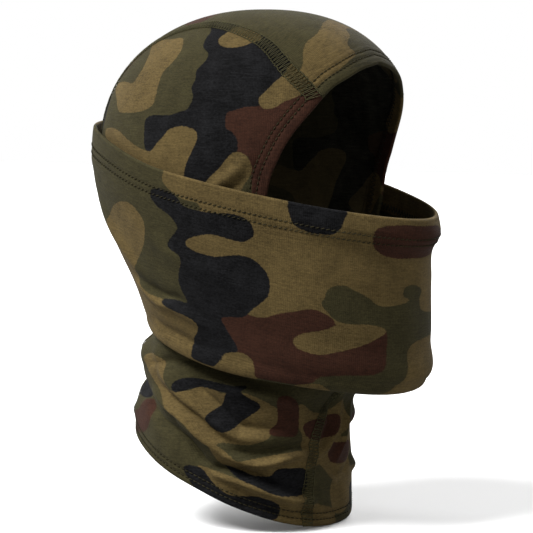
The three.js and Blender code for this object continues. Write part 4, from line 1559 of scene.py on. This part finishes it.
@dataclass
class Hood:
    """The stretched hood: crown panel, two side panels, hems, and the stitches that join them.

    Lengths are millimetres. Each fold is how far the printed face and the turned layer of a hem run from
    the edge, and each pair of rows is how far its stitches lie from it. The panels' tip stands off the
    place where hem and seam cross by tip, as (q, course), and their foot lies at the course called foot.
    The grids are rows and columns, and the hem steps are those of the brow, a face hem and the neck.
    """

    finishes: Finishes
    shape: HoodShape = field(default_factory=HoodShape)
    cloth: float = 1.0
    edge_radius: float = 1.2
    face_fold: tuple[float, float] = (15.0, 11.0)
    face_rows: tuple[float, float] = (6.0, 10.0)
    neck_fold: tuple[float, float] = (12.5, 9.0)
    neck_rows: tuple[float, float] = (4.0, 7.5)
    looper_depth: float = -2.75
    tuck: float = 9.0
    neck_tuck: float = 8.0
    tip: tuple[float, float] = (0.012, 0.008)
    foot: float = 1.008
    seam_gap: float = 0.05
    throat_start: float = 13.2
    ladder: float = 5.4
    rung_step: float = 1.05
    needle_step: float = 2.6
    needle_inset: float = -0.35
    face_share: float = 0.6
    droop: float = 14.0
    chin: float = 0.99995
    crown_half: float = 38.0
    crown_grid: tuple[int, int] = (330, 56)
    side_grid: tuple[int, int] = (250, 136)
    hem_steps: tuple[int, int, int] = (130, 240, 340)

    def __post_init__(self) -> None:
        """Derives the outlines, the folds and the prints from the shape."""
        self.neck = NeckEnd(self.shape)
        self.opening = FaceOpening(self.shape)
        self.seam = CrownSeam(self.shape, self.neck)
        self.sewing = Sewing(self.finishes, "hood")
        slack = ((-300, 0.8), (-280, 1.0), (-220, 1.25), (-195, 1.0), (-175, 0.35), (-120, 0.15), (0, 0.0))
        self.drape = Drape(NECK_RIDGES, Waves(0.75, seed=11), slack)
        other_side = tuple(blob.moved((-1, 1), (6, -16)) for blob in HOOD_PRINT)
        self.print_side = Print(HOOD_PRINT + other_side, (1.2, 1.0))
        self.print_crown = Print(CROWN_PRINT)

    def worn(self, surface: Surface) -> Cloth:
        """A surface that takes a height over the cloth as well, and lies in the folds."""
        return lambda u, v, height: self.drape.apply(raised(surface, u, v, height))

    def put(self, name: str, points: Array, u: Array, v: Array, printed: Print, closed: bool = False) -> Thing:
        """Makes a cloth of the hood: see put_cloth."""
        return put_cloth(name, points, u, v, printed, self.finishes.cloth, self.cloth, closed)

    def crossing(self, distance: float) -> tuple[float, float]:
        """Where the crown seam meets a line beside the opening, as (q, course)."""
        return self.seam.crossing(self.opening, distance)

    def brow_course(self, x: Array, distance: float) -> Array:
        """Course at which a sideways place meets a line beside the opening, read from a table."""
        q = np.linspace(0, 0.6, 200)
        p = self.opening.at(q, np.full(q.shape, distance))
        return np.interp(np.abs(x), -p[:, 0], self.seam.course_of(p))

    def crown_cloth(self) -> Thing:
        """Crown panel: courses from under the brow hem to under the neck hem, and across to both seams."""
        rows, columns = self.crown_grid
        t, across = np.meshgrid(np.linspace(0, 1, rows), np.linspace(-1, 1, columns), indexing="ij")
        x, course = across * self.crown_half, t
        for _ in range(4):
            brow = self.brow_course(x, self.tuck)
            course = brow + (self.foot - brow) * t
            x = across * (self.seam.half_width(np.minimum(course, 1)) - self.seam_gap)
        sink = -0.35 * (1 - smooth(0.0, 0.014, t) * smooth(1.0, 0.982, t))
        points = self.worn(self.seam.at)(x, course, sink)
        thing = self.put("crown_cloth", points, x, course * COURSE_LENGTH, self.print_crown)
        return keep(thing, "hood", "camo_knit", "crown_panel")

    def side_place(self, v: Array, u: Array, sign: int) -> tuple[Array, Array]:
        """Angle and wall over a side panel, the left one's as in a mirror.

        The patch runs between the line beside the face opening, carried on down the throat seam, and the
        crown seam: a straight mix of the two at each row, sagging to the neck line at the foot and bowed
        down in between.

        Args:
            v: 0 at the tip by the brow to 1 at the neck.
            u: 0 at the face and throat to 1 at the crown seam.
            sign: 1 for the right panel and -1 for the left one, which meets the throat seam elsewhere.

        Returns:
            Angle and wall.
        """
        q0, course0 = self.crossing(self.tuck)
        q0, course0 = q0 + self.tip[0], course0 + self.tip[1]

        def foot(angle: Array) -> Array:
            """Wall of the panel's lower edge, under the neck hem."""
            return self.shape.wall_of(self.neck.hem_z(angle, self.neck_tuck))

        top = self.opening.place(np.array(1.0), np.array(self.tuck))[1]
        fall = np.clip((v - self.face_share) / (1 - self.face_share), 0, 1)
        throat = top + (foot(self.neck.throat_angle(np.array(self.neck.level))) - top) * fall
        q = q0 + (1 - q0) * np.clip(v / self.face_share, 0, 1)
        face_a, face_w = self.opening.place(q, np.full(v.shape, self.tuck))
        below = v >= self.face_share
        face_a = np.where(below, sign * self.neck.throat_angle(self.shape.height_of(throat)), face_a)
        face_w = np.where(below, throat, face_w)
        seam = self.seam.line(course0 + (self.foot - course0) * v, self.seam_gap)
        centre = self.shape.section(seam[..., 2])[3]
        seam_a, seam_w = np.arctan2(-seam[..., 0], centre - seam[..., 1]), self.shape.wall_of(seam[..., 2])
        bottom_a = face_a[-1, 0] + (seam_a[-1, 0] - face_a[-1, 0]) * u
        bottom_w = face_w[-1, 0] + (seam_w[-1, 0] - face_w[-1, 0]) * u
        bow = self.droop * np.sin(math.pi * u) * 4 * v * (1 - v)
        wall = face_w + (seam_w - face_w) * u + v * (foot(bottom_a) - bottom_w) - bow
        return face_a + (seam_a - face_a) * u, wall

    def side_cloth(self, side: str, sign: int) -> Thing:
        """A side panel, sunk a little where it runs under the hems."""
        rows, columns = self.side_grid
        v, u = np.meshgrid(np.linspace(0, 1, rows), np.linspace(0, 1, columns) ** 1.15, indexing="ij")
        angle, wall = self.side_place(v, u, sign)
        angle = sign * angle
        at = self.shape.at(angle, wall)
        width = np.linalg.norm(at[:, :1] - at[:, -1:], axis=-1)
        face = (1 - smooth(0.0, 4.0, u * width)) * (v < self.face_share)
        sink = -0.4 * np.maximum(face, smooth(0.985, 1.0, v))
        points = self.worn(self.shape.at)(angle, wall, sink)
        thing = self.put(f"side_cloth_{side}", points, np.degrees(angle), wall, self.print_side)
        return keep(thing, "hood", "camo_knit", f"side_panel_{side}")

    def face_strip(self, name: str, node: str, q: Array, printed: Print) -> Thing:
        """A folded hem round part of the opening.

        Args:
            name: the object's name.
            node: the CAD node that it stands for.
            q: (rows, columns) places along the opening.
            printed: its print.

        Returns:
            The cloth.
        """
        distance, height = fold_profile(*self.face_fold, self.face_rows, self.edge_radius)
        distance, height = np.broadcast_to(distance, q.shape), np.broadcast_to(height, q.shape)
        points = raised(self.opening.at, q, distance, height)
        if printed is self.print_crown:
            u, v = points[..., 0], self.seam.course_of(points) * COURSE_LENGTH
        else:
            angle, v = self.opening.place(q, distance)
            u = np.degrees(angle)
        return keep(self.put(name, self.drape.apply(points), u, v, printed), "hood", "camo_hem", node)

    def hems(self) -> None:
        """The brow hem between the seams, the two face hems below them, and the neck hem."""
        distance, _ = fold_profile(*self.face_fold, self.face_rows, self.edge_radius)
        meet = np.array([self.crossing(float(d))[0] for d in distance])
        brow_steps, side_steps, neck_steps = self.hem_steps
        across = np.linspace(-1, 1, brow_steps)[:, None]
        brow = self.face_strip("brow_hem_cloth", "brow_hem", across * meet, self.print_crown)
        q = meet + (self.chin - meet) * np.linspace(0, 1, side_steps)[:, None]
        right, left = (
            self.face_strip(f"face_hem_cloth_{side}", f"face_hem_{side}", sign * q, self.print_side)
            for side, sign in (("right", 1), ("left", -1))
        )
        distance, height = fold_profile(*self.neck_fold, self.neck_rows, self.edge_radius)
        degrees, above = np.meshgrid(np.linspace(-180, 180, neck_steps, endpoint=False), distance, indexing="ij")
        points = raised(self.neck.at, np.radians(degrees), above, np.broadcast_to(height, degrees.shape))
        level = points[..., 2] - self.shape.widest
        neck = self.put("neck_hem_cloth", self.drape.apply(points), degrees, level, self.print_side, closed=True)
        keep(neck, "hood", "camo_hem", "neck_hem")

    def hem_stitches(self) -> None:
        """The stitches round the opening, a whole turn in q, and round the neck hem."""
        for hem, names, rows, surface, ends in (
            ("face_hem", ("inner", "outer"), self.face_rows, self.opening.at, (0.0, 2.0)),
            ("neck_hem", ("lower", "upper"), self.neck_rows, self.neck.at, (-math.pi, math.pi)),
        ):
            named = dict(zip(names, rows))
            self.sewing.hem(hem, named, surface, self.worn(surface), ends, self.looper_depth)

    def crown_seams(self) -> None:
        """Both crown seams: the ladder over the side panel and dark needle stitches on its crown side."""
        start = self.crossing(0.0)[1] + 0.004
        above = self.neck.hem_width + self.neck.gap
        nape = self.shape.widest - float(self.neck.hem_z(np.array(math.pi), above))
        end = 1 + 0.5 * above / nape
        ladder_keys, needle_keys = (
            even_keys(lambda c: self.seam.line(c, 0.0), start, end, spacing)
            for spacing in (self.rung_step, self.needle_step)
        )
        for side, sign, seed in (("right", 1.0, 3), ("left", -1.0, 4)):

            def line(c: Array, beside: Array, height: Array, sign: float = sign) -> Array:
                """Points beside the seam at a height over the cloth."""
                return self.drape.apply(raised(self.seam.line, c, beside, height) * (sign, 1.0, 1.0))

            def row(c: Array, height: Array) -> Array:
                """Points of the needle row, just over the seam's crown edge."""
                return line(c, np.full(c.shape, self.needle_inset), height)

            node = f"crown_seam_{side}"
            self.sewing.ladder(f"crown_ladder_{side}", node, line, ladder_keys, (0.2, self.ladder), seed)
            node = f"crown_needle_row_{side}"
            self.sewing.dashes(f"crown_needle_stitches_{side}", node, row, needle_keys, cover=0.86)

    def throat(self) -> None:
        """The throat seam: a ladder from the chin down to the folded edge of the neck."""
        top = float(self.shape.height_of(self.opening.place(np.array(1.0), np.array(self.throat_start))[1]))
        foot = self.neck.hem_z(self.neck.throat_angle(np.array(self.neck.level)), 0.0)

        def point(t: Array, beside: Array) -> Array:
            """Points beside the seam: t runs from the chin to the folded edge."""
            z = top + (foot - top) * t
            reach = self.shape.at_height(np.zeros(np.shape(z)), z)[..., 1]
            return self.shape.at_height(self.neck.throat_angle(z) - beside / reach, z)

        keys = even_keys(lambda t: point(t, np.zeros(t.shape)), 0.01, 0.995, self.rung_step)
        half = self.ladder / 2
        self.sewing.ladder("throat_ladder", "throat_seam", self.worn(point), keys, (-half, half), 5)

    def build(self) -> None:
        """Builds every piece of the hood."""
        crown = self.crown_cloth()
        right = self.side_cloth("right", 1)
        left = self.side_cloth("left", -1)
        self.hems()
        self.hem_stitches()
        self.crown_seams()
        self.throat()


# ---- Cover ----


@dataclass
class Cover:
    """The loose cover: one tube whose top is hemmed and whose lower end rolls under to its join.

    The lower fold hangs lower at the cheek: by cheek[2] at the angle cheek[0], within about cheek[1].
    """

    finishes: Finishes
    hood: Hood
    cloth: float = 1.0
    edge_radius: float = 1.2
    hem_width: float = 17.0
    rows: tuple[float, float] = (11.0, 15.0)
    looper_depth: float = -2.85
    hood_gap: float = 2.7
    under: float = 26.0
    cheek: tuple[float, float, float] = (78.0, 34.0, 4.5)
    steps: int = 380
    join_step: float = 1.5
    join_half: float = 2.0
    join_height: float = 0.5
    band: str = "cover_band"

    def __post_init__(self) -> None:
        """Derives the outline, the folds and the print."""
        self.shape = CoverShape(self.hood.shape)
        slack = ((-200, 0.5), (-185, 0.8), (-165, 1.1), (-140, 1.0), (-115, 0.7), (-100, 0.3), (-88, 0.25))
        self.drape = Drape(COVER_RIDGES, Waves(0.8, seed=23), slack, self.shape.slope, self.shape.centre)
        self.printed = Print(COVER_PRINT, (1.35, 1.0), ground=False)

    def wall(self, angle: Array) -> tuple[Array, Array]:
        """The hem and the outside: behind the hem the cloth runs up, over its edge and down to the roll.

        Args:
            angle: angles round the tube.

        Returns:
            Points (angles, columns, 3) and the print's level at each column.
        """
        s, r = self.shape, self.edge_radius
        behind = np.arange(s.top - self.hem_width + 0.5, s.top - r, 0.9)
        turn = np.linspace(math.pi, 0, 9)
        outside = np.arange(s.top - r - 0.9, s.roll_start, -1.25)
        level = np.concatenate([behind, s.top - r + r * np.sin(turn), outside])
        depth = np.concatenate([np.full(len(behind), -2 * r), r * np.cos(turn) - r, np.zeros(len(outside))])
        depth = depth - pinch(s.top - level, self.rows) * (depth > -r)
        a, at = np.meshgrid(angle, level, indexing="ij")
        laid = np.concatenate([s.top + (s.top - behind), np.full(len(turn), s.top), outside])
        return s.lift(a, s.reach(a, at) + depth, at), laid

    def under_fold(self, angle: Array) -> tuple[Array, Array]:
        """The lower fold, half an ellipse, and the cloth behind it, up close to the hood to the join.

        Args:
            angle: angles round the tube.

        Returns:
            Points (angles, columns, 3) and the print's level at each column.
        """
        s = self.shape
        phi = np.linspace(0, math.pi, 22)[1:]
        share = (1 - np.cos(phi)) / 2
        foot = s.join - 2
        start = s.reach(angle, np.full(angle.shape, s.roll_start))[:, None]
        end = s.hood_reach(angle, np.full(angle.shape, foot))[:, None] + self.hood_gap
        middle, width, hang = self.cheek
        depth = (s.roll_start - s.fold) * (0.75 + 0.25 * np.cos(angle)) + 0.6
        depth = depth + hang * np.exp(-(((np.degrees(angle) - middle) / width) ** 2))
        level = s.roll_start + (foot - s.roll_start) * share - depth[:, None] * np.sin(phi)
        fold = s.lift(angle[:, None], start + (end - start) * share, level)
        rise = np.arange(1.0, 5.0)
        a, at = np.meshgrid(angle, foot + rise, indexing="ij")
        inner = s.lift(a, s.hood_reach(a, at) + self.hood_gap, at)
        laid = s.roll_start - self.under * np.concatenate([share, np.ones(len(rise))])
        laid[len(share) :] -= rise
        return np.concatenate([fold, inner], 1), laid

    def build(self) -> None:
        """Builds the cloth, its stitches and the join."""
        angle = np.radians(np.linspace(-195, 165, self.steps, endpoint=False))
        parts = self.wall(angle), self.under_fold(angle)
        points = np.concatenate([part[0] for part in parts], 1)
        laid = np.concatenate([part[1] for part in parts])
        degrees, laid = np.meshgrid(np.degrees(angle), laid, indexing="ij")
        cloth = put_cloth(
            "cover_cloth", self.drape.apply(points), degrees, laid, self.printed, self.finishes.cloth,
            self.cloth, closed=True,
        )
        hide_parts("face_cover", "cover_top_hem")
        level = np.array([0.0, -self.shape.slope, 1.0])
        level /= np.linalg.norm(level)
        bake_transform(cloth)
        log.info("cover_cloth: %d vertices", len(cloth.data.vertices))
        self.stitches()
        self.join()

    def stitches(self) -> None:
        """Two rows of needle stitches below the hem and the looper behind them."""
        s = self.shape

        def edge(a: Array, row: Array) -> Array:
            """Points of the band's face a distance below its edge."""
            return s.at(a, s.top - row)

        def worn(a: Array, row: Array, height: Array) -> Array:
            """The same at a height over the face, in the folds."""
            level = s.top - row
            return self.drape.apply(s.lift(a, s.reach(a, level) + height, level))

        rows = dict(zip(("upper", "lower"), self.rows))
        sewing = Sewing(self.finishes, self.band)
        sewing.hem("cover_hem", rows, edge, worn, (-math.pi, math.pi), self.looper_depth, slant=1.0)

    def join(self) -> None:
        """The overlocked join under the lower fold: cross threads round the hood."""
        s = self.shape

        def line(a: Array, across: Array, height: Array) -> Array:
            """Points over the hood's face at a place across the join."""
            level = s.join + across
            return self.hood.drape.apply(s.lift(a, s.hood_reach(a, level) + self.join_height + height, level))

        middle = partial(line, across=np.zeros(1), height=np.zeros(1))
        keys = even_keys(middle, -math.pi, math.pi, self.join_step)
        span = (-self.join_half, self.join_half)
        self.hood.sewing.ladder("cover_join_overlock", "cover_join_seam", line, keys, span, 6)


# ---- Setting ----


@dataclass(frozen=True)
class Setting:
    """Pale floor, soft lights and the camera, which looks along azimuth and elevation at aim.

    A light has a name, the direction towards it, its strength on a surface that faces it and its width in
    degrees. Floor and sky each have a tone for the cloth and one for the camera.
    """

    aim: tuple[float, float, float] = (0.0, 0.0, -0.146)
    azimuth: float = -58.0
    elevation: float = 5.0
    distance: float = 1.25
    side_step: float = 0.0055
    lens: float = 146.1
    floor_size: float = 4.0
    floor_tones: tuple[float, float] = (0.25, 0.9)
    sky_tones: tuple[float, float] = (0.18, 1.0)
    lights: tuple[tuple[str, tuple[float, float, float], float, float], ...] = (
        ("key", (-0.6, 0.36, 0.9), 5.6, 26),
        ("fill", (-0.25, -0.9, 0.7), 0.7, 50),
        ("side", (0.9, 0.15, 0.5), 2.6, 40),
        ("back", (0.25, 0.9, 0.35), 1.2, 40),
    )

    def floor(self, height: float) -> None:
        """A plain pale floor under the mask."""
        corners = np.array([[-1, -1, 0], [1, -1, 0], [1, 1, 0], [-1, 1, 0]]) * self.floor_size
        thing = put_mesh("floor", (corners + (0, 0, height)) / MM, np.array([[0, 1, 2, 3]]))
        material = bpy.data.materials.new("pale_floor")
        material.use_nodes = True
        shader = material.node_tree.nodes["Principled BSDF"]
        graph = Graph(material.node_tree)
        seen = graph.add("ShaderNodeLightPath").outputs["Is Camera Ray"]
        colour = graph.mix(seen, *((tone, tone, tone, 1) for tone in self.floor_tones))
        graph.tree.links.new(colour, shader.inputs["Base Color"])
        shader.inputs["Roughness"].default_value = 0.75
        thing.data.materials.append(material)
        thing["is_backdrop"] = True

    def place(self, name: str, data: bpy.types.ID, back: mathutils.Vector) -> Thing:
        """Adds a light or the camera, its back turned in a direction."""
        thing = bpy.data.objects.new(name, data)
        thing.rotation_euler = back.to_track_quat("Z", "Y").to_euler()
        bpy.context.scene.collection.objects.link(thing)
        return thing

    def light(self, name: str, toward: tuple[float, float, float], power: float, softness: float) -> None:
        """A far soft light: see the fields."""
        data = bpy.data.lights.new(name, "SUN")
        data.energy = power
        data.angle = math.radians(softness)
        self.place(name, data, mathutils.Vector(toward))

    def camera(self) -> None:
        """The camera: level with the cheek, a little to the side of the middle."""
        a, e = math.radians(self.azimuth), math.radians(self.elevation)
        back = mathutils.Vector((math.sin(a) * math.cos(e), -math.cos(a) * math.cos(e), math.sin(e)))
        right = mathutils.Vector((math.cos(a), math.sin(a), 0))
        data = bpy.data.cameras.new("camera")
        data.lens = self.lens
        data.sensor_width = 36
        thing = self.place("camera", data, back)
        thing.location = mathutils.Vector(self.aim) + back * self.distance + right * self.side_step
        bpy.context.scene.camera = thing

    def sky(self) -> None:
        """Even surrounding light, white to the camera."""
        world = bpy.data.worlds.new("studio")
        world.use_nodes = True
        graph = Graph(world.node_tree)
        seen = graph.add("ShaderNodeLightPath").outputs["Is Camera Ray"]
        backdrop = world.node_tree.nodes["Background"]
        backdrop.inputs[0].default_value = (1, 1, 1, 1)
        lit, shown = self.sky_tones
        graph.tree.links.new(graph.math("MULTIPLY_ADD", seen, shown - lit, lit), backdrop.inputs[1])
        bpy.context.scene.world = world

    def build(self, floor_height: float) -> None:
        """Builds the floor, the lights, the surrounding light and the camera."""
        self.floor(floor_height)
        for light in self.lights:
            self.light(*light)
        self.sky()
        bpy.context.scene.view_settings.view_transform = "Standard"
        self.camera()


def main() -> None:
    """Builds the mask in order: finishes, hood, cover, setting."""
    logging.basicConfig(level=logging.INFO, format="%(message)s")
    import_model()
    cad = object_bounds()
    finishes = Finishes.make()
    hood = Hood(finishes)
    hood.build()
    Cover(finishes, hood).build()
    Setting().build(min(cad[0][2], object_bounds()[0][2]))


if __name__ == "__main__":
    main()
